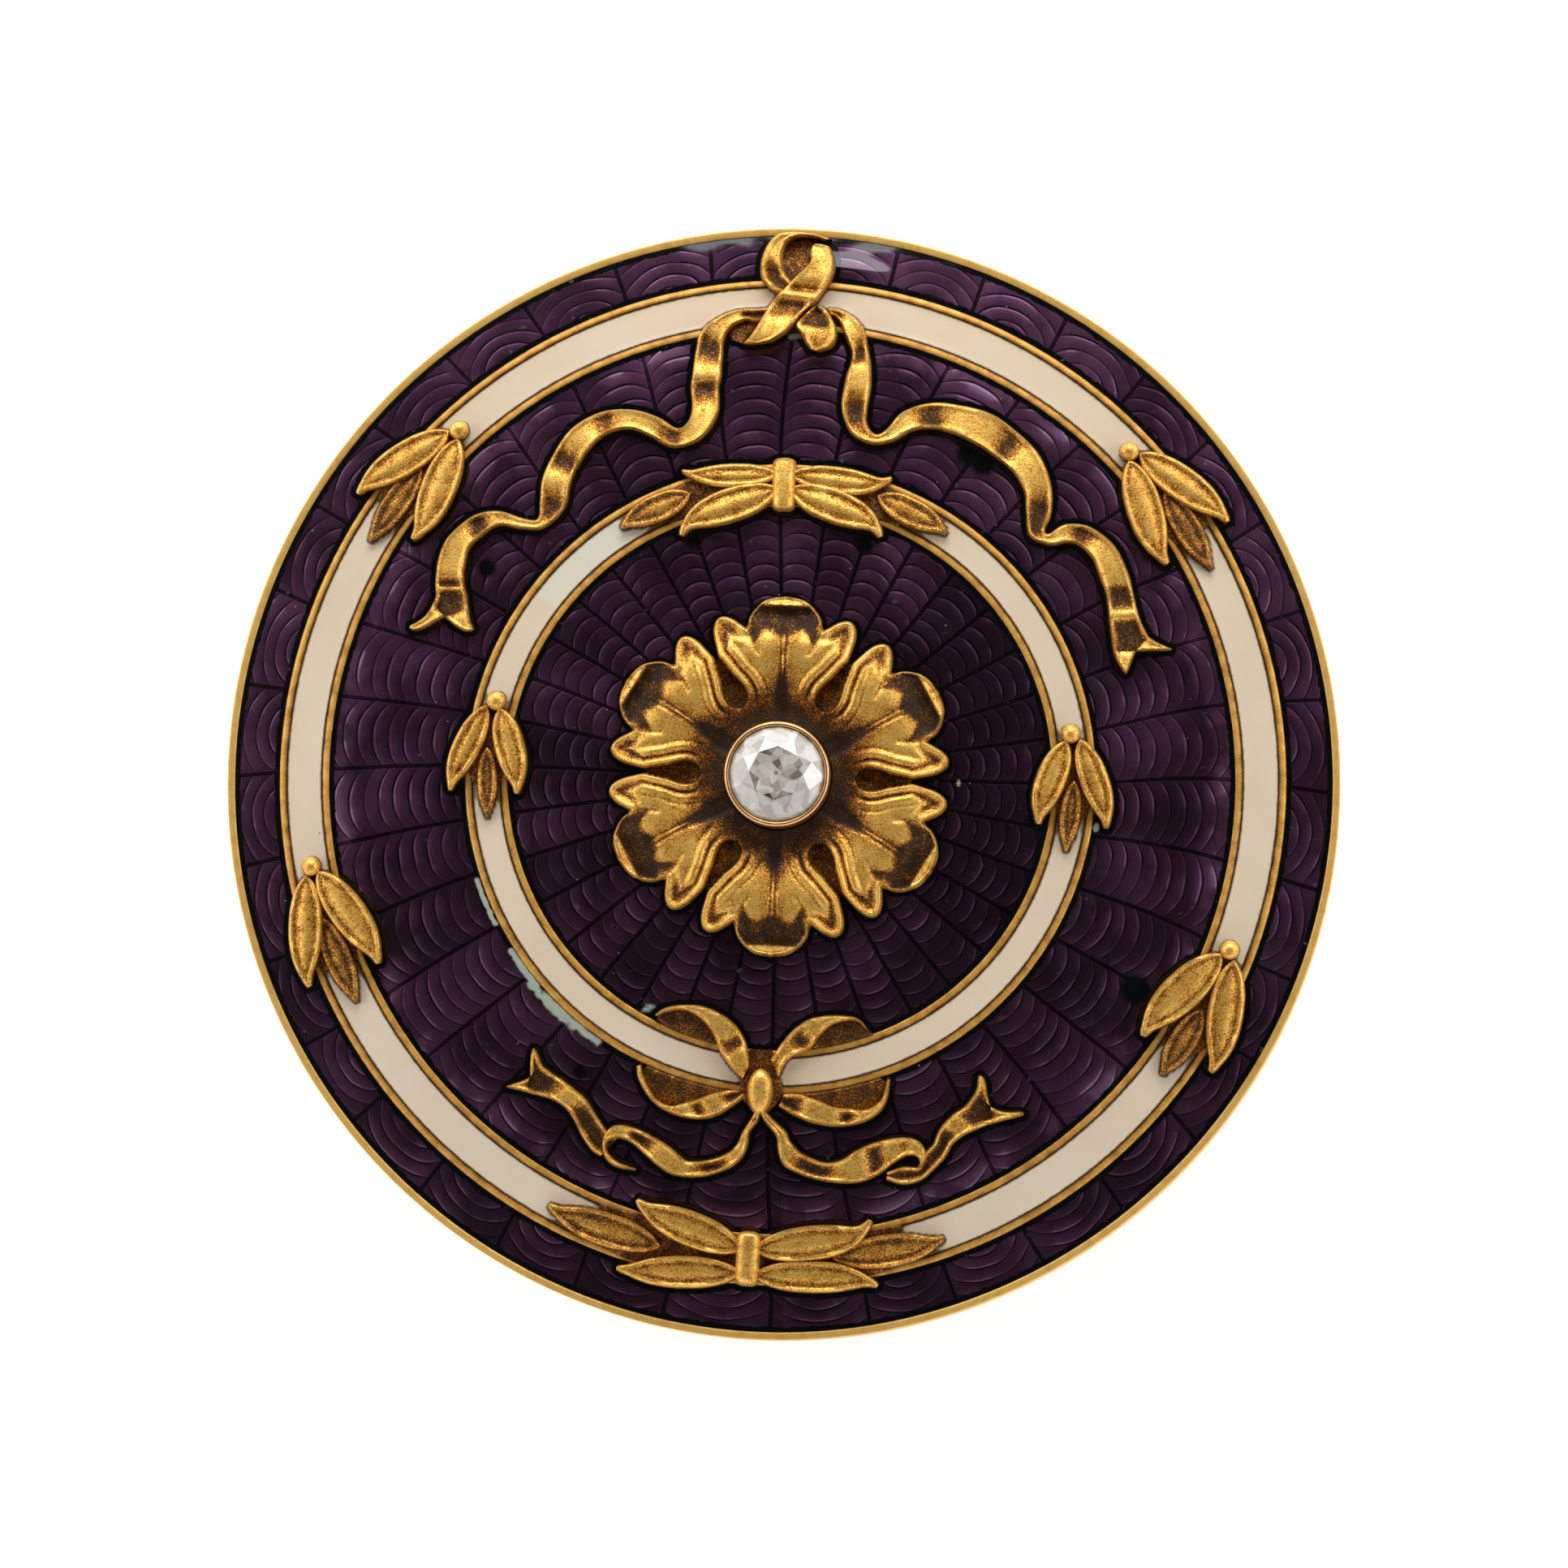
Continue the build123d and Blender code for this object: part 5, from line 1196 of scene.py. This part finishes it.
def half_petal():
    """Half a petal: its grid of clock angles and radii, with the lift and patina there."""
    clocks, shares = petal_grid()
    radii = shares * rosette_radius
    places = clock_place(clocks, radii).reshape(-1, 2)
    side = eased(eye_side, 8)
    eye_edge = clock_place(side[:, 1], side[:, 0] * rosette_radius)
    broad_edge = outline_points(petal_outline[: notch_row + 1], 24)
    side_edge = np.vstack([outline_points(petal_outline[notch_row:], 16), eye_edge])
    fold = outline_points([petal_outline[notch_row], *notch_fold], 12)
    paths = (broad_edge, side_edge, fold)
    to_broad, to_side, to_fold = (distance_to(places, path).reshape(radii.shape) / mm for path in paths)
    axial = radii / mm * np.cos(np.radians(clocks))
    aside = radii / mm * np.sin(np.radians(clocks))
    crown_rows = eased(petal_crown, 8)
    crown = np.interp(shares, crown_rows[:, 0], crown_rows[:, 1])
    body = rounded(np.minimum(to_broad, to_side), 0.11)

    # The broad lobe: its folded lip, its thin edge and the hollow below them, dark with patina and with
    # painted shadow under the lip
    lobe = 1 - ramp(clocks, 11.5, 14.5)
    lip = ramp(axial, lip_inner - 0.03, lip_inner + 0.03) * lobe
    lip *= 1 - ramp(aside, lip_half - 0.10, lip_half + 0.30)
    lip_fall = 1 - 0.55 * ramp(axial, lip_inner, rosette_radius / mm)
    edge = bell((to_broad - 0.07) / 0.05) * ramp(axial, 4.9, 5.3) * lobe
    fingers = 0.24 * bell((aside - 0.60) / 0.26) - 0.40 * bell((aside - 1.12) / 0.20)
    hollow_edge = hollow_inner + fingers
    hollow = ramp(axial, hollow_edge - 0.16, hollow_edge + 0.16) * lobe * (1 - lip)
    hollow *= ramp(to_broad, 0.07, 0.13)

    # Lines along the side lobe: its rim, a groove, a ridge and a second groove
    tip = ramp(shares, 0.74, 0.87)
    lined = 1 - ramp(shares, 0.60, 0.72) * (1 - ramp(clocks, 15.5, 20.5))
    rim = bell((to_side - 0.13) / 0.12)
    groove = bell((to_side - 0.33 - 0.10 * tip) / (0.06 + 0.14 * tip)) * lined
    ridge = bell((to_side - 0.54) / 0.10) * (1 - tip) * lined
    second = bell((to_side - 0.76) / 0.06) * (1 - tip) * lined

    # Along the axis: a trough that widens inwards, and the vein in it
    wide = trough_half * (1 + 1.3 * (1 - ramp(shares, 0.38, 0.62)))
    trough = (1 - ramp(aside, 0.6 * wide, 1.5 * wide)) * (1 - ramp(axial, 5.0, 5.4))
    vein = bell(aside / 0.035) * ramp(shares, 0.52, 0.60)
    stain = bell(aside / 0.34) * (1 - 0.8 * vein) * ramp(shares, 0.40, 0.50)

    crease = bell(to_fold / 0.09)
    past_eye = ramp(shares, 0.42, 0.50)
    rise = crown + 0.32 * lip * lip_fall + 0.09 * edge - 0.07 * trough + 0.04 * vein * trough
    rise += past_eye * (0.10 * rim - 0.06 * groove + 0.05 * ridge - 0.03 * second) - 0.06 * crease
    # Patina, with painted shadow in the hollow under the lip and along the fold from the notch
    recess = 1 - ramp(shares, 0.32, 0.62)
    patina = 0.06 + 0.80 * hollow + 0.84 * recess + past_eye * (0.60 * groove - 0.08 * rim + 0.22 * second)
    patina += 0.34 * stain * (1 - hollow) + (0.30 - 0.25 * vein) * trough
    patina += 0.20 * crease + 0.7 * (1 - body) - 0.12 * lip
    return clocks, radii, rosette_height * rise * body + border_proud, np.clip(patina, 0, 1)


def petal_shape(side, half):
    """Half a petal on one side of its axis, which points to the knot, closed below."""
    clocks, radii, lift, patina = half
    places = clock_place(side * clocks, radii)
    heights = dome_height(radii, relief_foot + lift)
    rows, columns = radii.shape
    foot = dome_height(radii[:, [0, -1]], relief_foot)
    foot_points = np.dstack([places[:, [0, -1]], foot]).reshape(-1, 3)
    points = np.vstack([np.dstack([places, heights]).reshape(-1, 3), foot_points])
    faces = grid_faces(rows, columns)
    under = rows * columns
    for row in range(rows - 1):
        near, far = under + 2 * row, under + 2 * row + 2
        faces.append([near, near + 1, far + 1, far])
        faces.append([near + 1, row * columns + columns - 1, (row + 1) * columns + columns - 1, far + 1])
    last = under + 2 * (rows - 1)
    faces.append([last, last + 1] + list(range(under - 1, under - columns - 1, -1)))
    faces.append([under, under + 1] + list(range(columns - 1, -1, -1)))
    return points, faces, np.concatenate([patina.ravel(), np.ones(2 * rows)])


def eye_floor():
    """Low ground that shows in the eyes between the petals."""
    radii = np.linspace(0.40, 0.735, 16) * rosette_radius
    top = [(radius, dome_height(radius, eye_floor_lift)) for radius in radii]
    low = [(radius, dome_height(radius, relief_foot)) for radius in radii[[-1, 0]]]
    return turned(top + low, [0.66] * len(top + low), 180)


def petals_round_the_stone():
    """Geometry Nodes that set equal petals round the middle of their ground."""
    tree = bpy.data.node_groups.new("petals_round_the_stone", "GeometryNodeTree")
    sizes = {"Count": "Int", "First turn": "Float"}
    inputs = {"Ground": "Geometry", "Petal": "Object", **sizes, "Gold": "Material"}
    for name, kind in inputs.items():
        tree.interface.new_socket(name, in_out="INPUT", socket_type=f"NodeSocket{kind}")
    tree.interface.new_socket("Rosette", in_out="OUTPUT", socket_type="NodeSocketGeometry")
    ground, petal, count, first_turn, gold = (node(tree, "NodeGroupInput", output=name) for name in inputs)
    petal = node(tree, "GeometryNodeObjectInfo", {"Object": petal, "As Instance": True}, "Geometry")
    places = node(tree, "GeometryNodePoints", {"Count": count})
    step = node(tree, "ShaderNodeMath", {0: 2 * pi, 1: count}, operation="DIVIDE")
    clock = node(tree, "GeometryNodeInputIndex") * step + first_turn
    turn = node(tree, "ShaderNodeCombineXYZ", {"Z": 0.0 - clock})
    set_round = {"Points": places, "Instance": petal, "Rotation": turn}
    petals = node(tree, "GeometryNodeInstanceOnPoints", set_round)
    both = node(tree, "GeometryNodeJoinGeometry", {"Geometry": petals})
    tree.links.new(ground.socket, both.socket.node.inputs["Geometry"])
    real = node(tree, "GeometryNodeRealizeInstances", {"Geometry": both})
    dressed = node(tree, "GeometryNodeSetMaterial", {"Geometry": real, "Material": gold})
    node(tree, "NodeGroupOutput", {"Rosette": dressed})
    return tree


def rosette_mesh():
    """Plain mesh of the rosette, from one petal and the ground in its eyes."""
    half = half_petal()
    petal = placed("one_petal", mesh_of("one_petal", joined([petal_shape(1, half), petal_shape(-1, half)])))
    ground = placed("rosette_ground", mesh_of("rosette_ground", eye_floor()))
    modifier = ground.modifiers.new("petals", "NODES")
    modifier.node_group = petals_round_the_stone()
    first_turn = radians(rosette_turn)
    sizes = {"Petal": petal, "Count": petal_count, "First turn": first_turn, "Gold": bloomed_gold}
    for socket in modifier.node_group.interface.items_tree:
        if socket.name in sizes:
            modifier[socket.identifier] = sizes[socket.name]
    graph = bpy.context.evaluated_depsgraph_get()
    mesh = bpy.data.meshes.new_from_object(ground.evaluated_get(graph))
    for helper in (ground, petal):
        bpy.data.objects.remove(helper)
    return closed(mesh)


cast_pieces = {name: new_piece(f"cast_{name}", joined(shapes)) for name, shapes in cast_shapes.items()}
cast_pieces["rosette"] = placed("cast_rosette", rosette_mesh())
for name, cast in cast_pieces.items():
    set_in_place(cast, name, bloomed_gold)

# The collet: a plain tube with a ledge for the stone and a lip over it
stone_low, stone_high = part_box("diamond")
collet_top = dome_height(0.0) + collet_height
girdle_top = collet_top - collet_lip - piece_gap
bore = collet_radius - collet_wall
collet_foot = dome_height(collet_radius)
# Columns: radius, height, patina
collet_section = [
    (bore, collet_foot, 0.6),
    (collet_radius, collet_foot, 0.8),
    (collet_radius, collet_foot + 0.55 * mm, 0.7),
    (collet_radius, collet_top - 0.40 * mm, 0.35),
    (collet_radius, collet_top - 0.16 * mm, 0.08),
    (collet_radius - 0.02 * mm, collet_top - 0.08 * mm, 0.0),
    (collet_radius - 0.06 * mm, collet_top - 0.02 * mm, 0.0),
    (collet_radius - 0.11 * mm, collet_top, 0.0),
    (collet_radius - 0.16 * mm, collet_top - 0.02 * mm, 0.05),
    (stone_radius - 0.03 * mm, collet_top - 0.07 * mm, 0.25),
    (stone_radius - 0.02 * mm, girdle_top + 0.01 * mm, 0.7),
    (stone_radius + 0.02 * mm, girdle_top - 0.10 * mm, 0.7),
    (bore, girdle_top - 0.28 * mm, 0.6),
]
collet_rows = np.array(collet_section)
collet = new_piece("turned_collet", turned(collet_rows[:, :2], collet_rows[:, 2], 144))
set_in_place(collet, "collet", collet_gold)


# The stone, in its old cut
def cut_stone():
    """Points, faces and greys of the stone, from its table to its point; the greys are painted reflections.
    """
    table_height, low = stone_high[2], stone_low[2]
    slope = (table_height - girdle_top) / (stone_radius * (1 - table_share))
    star_fall = stone_radius * (1 - star_share * cos(pi / 8)) * slope
    girdle_low = girdle_top - 0.05 * mm
    ring_rows = [
        ("culet", culet_share, 0.5, table_height),
        ("inner", inner_point_share, 0.5, table_height),
        ("table", table_share, 0.0, table_height),
        ("side", table_share * cos(pi / 8), 0.5, table_height),
        ("star", star_share, 0.5, girdle_top + star_fall),
        ("main", 1.0, 0.0, girdle_top),
        ("between", 1.0, 0.5, girdle_top),
        ("main_low", 1.0, 0.0, girdle_low),
        ("between_low", 1.0, 0.5, girdle_low),
        ("point", culet_share, 0.0, low),
    ]
    points, start = [], {}
    for ring, share, shift, height in ring_rows:
        start[ring] = len(points)
        for index in range(8):
            x, y = clock_place(stone_turn + 45 * (index + shift), share * stone_radius)
            points.append((x, y, height))

    def corners(index, *places):
        return [start[ring] + (index + step) % 8 for ring, step in places]

    faces, greys = [list(range(start["culet"], start["culet"] + 8))], [0.0]
    faces.append(list(range(start["point"], start["point"] + 8)))
    greys.append(0.3)
    for index, (main, before, after, star, kite, girdle, other) in enumerate(stone_tones):
        cuts = [
            (main, ("culet", -1), ("culet", 0), ("inner", 0), ("table", 0), ("inner", -1)),
            (before, ("inner", -1), ("table", 0), ("side", -1)),
            (after, ("inner", 0), ("side", 0), ("table", 0)),
            (star, ("table", 0), ("side", 0), ("table", 1), ("star", 0)),
            (kite, ("table", 0), ("star", 0), ("main", 0), ("star", -1)),
            (girdle, ("star", 0), ("between", 0), ("main", 0)),
            (other, ("star", 0), ("main", 1), ("between", 0)),
            (0.5, ("main", 0), ("between", 0), ("between_low", 0), ("main_low", 0)),
            (0.5, ("between", 0), ("main", 1), ("main_low", 1), ("between_low", 0)),
            (0.4, ("main_low", 0), ("between_low", 0), ("point", 0)),
            (0.3, ("between_low", 0), ("main_low", 1), ("point", 1), ("point", 0)),
        ]
        for grey, *places in cuts:
            faces.append(corners(index, *places))
            greys.append(grey)
    return (np.array(points), faces, np.zeros(len(points))), greys


stone_shape, stone_greys = cut_stone()
diamond = new_piece("old_cut_stone", stone_shape, 1.0)
# Each face keeps the grey of its painted reflection
facet_layer = diamond.data.attributes.new("facet_reflection", "FLOAT", "FACE")
facet_layer.data.foreach_set("value", np.array(stone_greys, np.float32))
set_in_place(diamond, "diamond", diamond_cut)

# Distances from the enamel to the cast gold
all_cast = bmesh.new()
for cast in cast_pieces.values():
    all_cast.from_mesh(cast.data)
cast_tree = BVHTree.FromBMesh(all_cast)
all_cast.free()


def distance_to_gold(points):
    """Distance from each point to the cast gold, as far as it matters."""
    found = [cast_tree.find_nearest(point, gold_reach)[3] for point in points.tolist()]
    return np.array([gold_reach if away is None else away for away in found])


def clock_of(places):
    """Clock angle of each place, from -180 to 180."""
    return np.degrees(np.arctan2(places[:, 0], places[:, 1]))


def spot_strength(places):
    """Strength of the deep spots at each place, 1 in their middle."""
    strength = np.zeros(len(places))
    for clock, radius, size in deep_spots:
        away = np.linalg.norm(places - clock_place(clock, radius * mm), axis=1) / (size * mm)
        strength = np.maximum(strength, 1 - ramp(away, 0.75, 1.6))
    return strength


def streak_strength(places):
    """Strength of the pale deposits along the hoops at each place."""
    clock = clock_of(places) % 360
    radius = np.hypot(places[:, 0], places[:, 1]) / mm
    strength = np.zeros(len(places))
    for clock_from, clock_to, middle, width in pale_streaks:
        begun = ramp(clock, clock_from - 0.8, clock_from + 0.4)
        ended = ramp(clock, clock_to - 0.4, clock_to + 0.8)
        beside = 1 - ramp(np.abs(radius - middle), 0.4 * width, 1.9 * width)
        strength = np.maximum(strength, begun * (1 - ended) * beside)
    return strength


def enamel_ring(inner, outer, clock_from, clock_to):
    """Closed ring of enamel in its recess, with a fine grid on its face."""
    pitch = 0.09 * mm
    inner, outer = inner + piece_gap, outer - piece_gap
    rows = max(int((outer - inner) / pitch), 6)
    radii = np.linspace(inner, outer, rows)
    face = [(radius, dome_height(radius, enamel_top)) for radius in radii]
    low = [(radius, dome_height(radius, enamel_floor + piece_gap)) for radius in (outer, inner)]
    arc = radians(clock_to - clock_from)
    segments = int(arc * (inner + 2 * outer) / 3 / pitch)
    return turned(face + low, [0.0] * (rows + 2), segments, clock_from, clock_to)


def fired(name, shape, inner, outer, material):
    """Enamel piece with its distance to the gold, its dark spots and pale marks, and its raised edge."""
    points, faces, patina = shape
    radius = np.hypot(points[:, 0], points[:, 1])
    top = points[:, 2] > dome_height(radius, enamel_top - 0.1 * mm)
    away = np.full(len(points), gold_reach)
    away[top] = distance_to_gold(points[top])
    away = np.minimum(away, np.minimum(radius - inner, outer - radius))
    clock = clock_of(points)
    if material is cream:
        points[top, 2] += cream_creep * bell(away[top] / cream_creep_width)
    if name == "enamel_border":
        run_clock, clock_spread, run_radius, radius_spread, rise = glass_run
        beside_knot = bell((clock[top] - run_clock) / clock_spread)
        points[top, 2] += rise * mm * beside_knot * bell((radius[top] / mm - run_radius) / radius_spread)
    piece = new_piece(f"fired_{name}", (points, faces, patina))
    if len(piece.data.vertices) != len(points):
        raise ValueError(f"{name} lost points")
    if name == "cream_hoop_inner":
        pale = ramp(clock, *mended_from) * (1 - ramp(clock, *mended_to))
    else:
        pale = streak_strength(points[:, :2]) * (material is purple)
    values = {"gold_distance": away / mm, "pale": pale, "deep": spot_strength(points[:, :2])}
    for attribute, value in values.items():
        layer = piece.data.attributes.new(attribute, "FLOAT", "POINT")
        layer.data.foreach_set("value", value.astype(np.float32))
    set_in_place(piece, name, material)


bow_gap_turn = degrees((bow_gap * inner_hoop_width + piece_gap) / inner_hoop[0])
gap_edges = (bow_clock + bow_gap_turn - 360, bow_clock - bow_gap_turn)
border_inner = outer_hoop_outer + border_width
# Columns: name, inner and outer radius, material, slot, clock angles of its ends
rings = [
    ("enamel_border", border_inner, face_radius, purple, "enamel_purple", 0, 360),
    ("enamel_field", field_inner, field_outer, purple, "enamel_purple", 0, 360),
    ("enamel_centre", seat_radius, centre_outer, purple, "enamel_purple", 0, 360),
    ("cream_hoop_outer", outer_hoop_inner, outer_hoop_outer, cream, "enamel_cream", 0, 360),
    ("cream_hoop_inner", inner_hoop_inner, inner_hoop_outer, cream, "enamel_cream", *gap_edges),
]
for name, inner, outer, material, slot, clock_from, clock_to in rings:
    ring = enamel_ring(inner, outer, clock_from, clock_to)
    fired(name, ring, inner, outer, material)


# The pin on the back: stem, hinge and catch in one
def rod(start, end, radius_from, radius_to, sides=40):
    """Round bar between two points, closed at both ends."""
    start, end = Vector(start), Vector(end)
    axis = (end - start).normalized()
    aside = axis.orthogonal().normalized()
    up = axis.cross(aside)
    points = []
    for place, radius in ((start, radius_from), (end, radius_to)):
        for index in range(sides):
            turn = 2 * pi * index / sides
            points.append(place + (aside * cos(turn) + up * sin(turn)) * radius)
    faces = grid_faces(2, sides, close_columns=True) + [list(range(sides)), list(range(sides, 2 * sides))]
    return np.array(points), faces, np.full(2 * sides, 0.15)


def block(low, high):
    """Upright block between two corners."""
    points = [(x, y, z) for x in (low[0], high[0]) for y in (low[1], high[1]) for z in (low[2], high[2])]
    faces = [[0, 1, 3, 2], [4, 6, 7, 5], [0, 4, 5, 1], [2, 3, 7, 6], [0, 2, 6, 4], [1, 5, 7, 3]]
    return np.array(points), faces, np.full(8, 0.3)


def pin_shape():
    """Stem from the hinge to its point, the hinge's knuckle and foot, the catch and its foot."""
    hinge_x, catch_x = -pin_span / 2, pin_span / 2
    axis, tip = pin_axis_height, catch_x + pin_overshoot
    shoulder = tip - pin_point_length
    hinge_y, foot_y, foot_x = knuckle_width / 2, catch_foot_width / 2, catch_width / 2
    hinge_top = dome_height(hypot(hinge_x - knuckle_radius, hinge_y), plate_under) - piece_gap
    catch_top = dome_height(hypot(catch_x + foot_x, foot_y), plate_under) - piece_gap
    shapes = [
        rod((hinge_x, 0, axis), (shoulder, 0, axis), pin_wire_radius, pin_wire_radius),
        rod((shoulder, 0, axis), (tip, 0, axis), pin_wire_radius, pin_wire_radius / 4),
        rod((hinge_x, -hinge_y, axis), (hinge_x, hinge_y, axis), knuckle_radius, knuckle_radius),
        block((hinge_x - knuckle_radius, -hinge_y, axis), (hinge_x + knuckle_radius, hinge_y, hinge_top)),
        block((catch_x - foot_x, -foot_y, axis + 0.3 * mm), (catch_x + foot_x, foot_y, catch_top)),
    ]
    sides = 24
    outer, inner = knuckle_radius, pin_wire_radius
    hook = []
    for index in range(sides + 1):
        turn = radians(-205 + 260 * index / sides)
        for radius in (inner, outer):
            hook.append((radius * cos(turn), axis + radius * sin(turn)))
    points = [(x, y, z) for x in (catch_x - foot_x, catch_x + foot_x) for y, z in hook]
    count = len(hook)
    faces = []
    for index in range(0, count - 2, 2):
        quad = [index, index + 1, index + 3, index + 2]
        faces.append(quad)
        faces.append([count + corner for corner in quad])
        faces.append([index, index + 2, count + index + 2, count + index])
        faces.append([index + 1, index + 3, count + index + 3, count + index + 1])
    faces.append([0, 1, count + 1, count])
    faces.append([count - 2, count - 1, 2 * count - 1, 2 * count - 2])
    shapes.append((np.array(points), faces, np.full(2 * count, 0.25)))
    return joined(shapes)


pin = new_piece("drawn_pin", pin_shape(), 40.0)
set_in_place(pin, "pin", plate_gold)


# Stage: a pale table, soft light all round and three softboxes
def pale_floor():
    """Plain pale table under the brooch."""
    material, tree, _ = new_material("pale_matt_table")
    glow = {"Emission Color": linear("#ffffff"), "Emission Strength": 0.7}
    look = {"Base Color": linear("#e9e7e4"), "Roughness": 0.9, **glow}
    shader = node(tree, "ShaderNodeBsdfPrincipled", look)
    node(tree, "ShaderNodeOutputMaterial", {"Surface": shader})
    bpy.ops.mesh.primitive_plane_add(size=3.0)
    floor = bpy.context.object
    floor.name = "pale_table"
    floor.data.materials.append(material)


def studio_world():
    """Light that is dim overhead and bright towards the horizon."""
    world = bpy.data.worlds.new("studio")
    bpy.context.scene.world = world
    world.use_nodes = True
    tree = world.node_tree
    tree.nodes.clear()
    heading = node(tree, "ShaderNodeTexCoord", output="Generated")
    stops = [(0, "#ffffff"), (0.5, "#ffffff"), (0.74, "#4a4948"), (0.84, "#343333")]
    height = node(tree, "ShaderNodeSeparateXYZ", {0: heading}, 2)
    shade = node(tree, "ShaderNodeValToRGB", {"Fac": height}, stops=stops)
    background = node(tree, "ShaderNodeBackground", {"Color": shade, "Strength": 1.05})
    node(tree, "ShaderNodeOutputWorld", {"Surface": background})


def softbox(name, clock, from_zenith, distance, size, radiance):
    """Square lamp aimed at the brooch from a clock angle and an angle off the zenith."""
    fall = radians(from_zenith)
    x, y = clock_place(clock, distance * sin(fall))
    lamp = bpy.data.lights.new(name, "AREA")
    lamp.shape = "RECTANGLE"
    lamp.size, lamp.size_y = size
    lamp.energy = radiance * pi * size[0] * size[1]
    box = bpy.data.objects.new(name, lamp)
    box.location = (x, y, distance * cos(fall))
    box.rotation_mode = "QUATERNION"
    box.rotation_quaternion = (-Vector(box.location)).to_track_quat("-Z", "Y")
    bpy.context.scene.collection.objects.link(box)


def photographs_camera():
    """Long lens almost straight above, leaning to the lower right as in the photograph."""
    target = Vector((camera_target[0], camera_target[1], rim_height))
    back = Vector((camera_lean[0], camera_lean[1], 1.0)).normalized()
    camera = bpy.data.objects.new("camera", bpy.data.cameras.new("camera"))
    camera.data.sensor_width = sensor_width / mm
    camera.data.lens = sensor_width / mm * camera_distance / view_width
    camera.location = target + back * camera_distance
    sideways = Vector((0, 1, 0)).cross(back).normalized()
    up = back.cross(sideways)
    camera.rotation_mode = "QUATERNION"
    camera.rotation_quaternion = Matrix((sideways, up, back)).transposed().to_quaternion()
    camera.data.clip_start, camera.data.clip_end = 0.01, 10.0
    bpy.context.scene.collection.objects.link(camera)
    bpy.context.scene.camera = camera


pale_floor()
studio_world()
softbox("upper_softbox", 2.0, 57.0, 0.7, (0.55, 0.38), 4.7)
softbox("left_softbox", -75.0, 62.0, 0.7, (0.40, 0.30), 2.3)
softbox("right_softbox", 80.0, 62.0, 0.7, (0.40, 0.30), 1.9)
photographs_camera()
bpy.context.scene.view_settings.view_transform = "Standard"
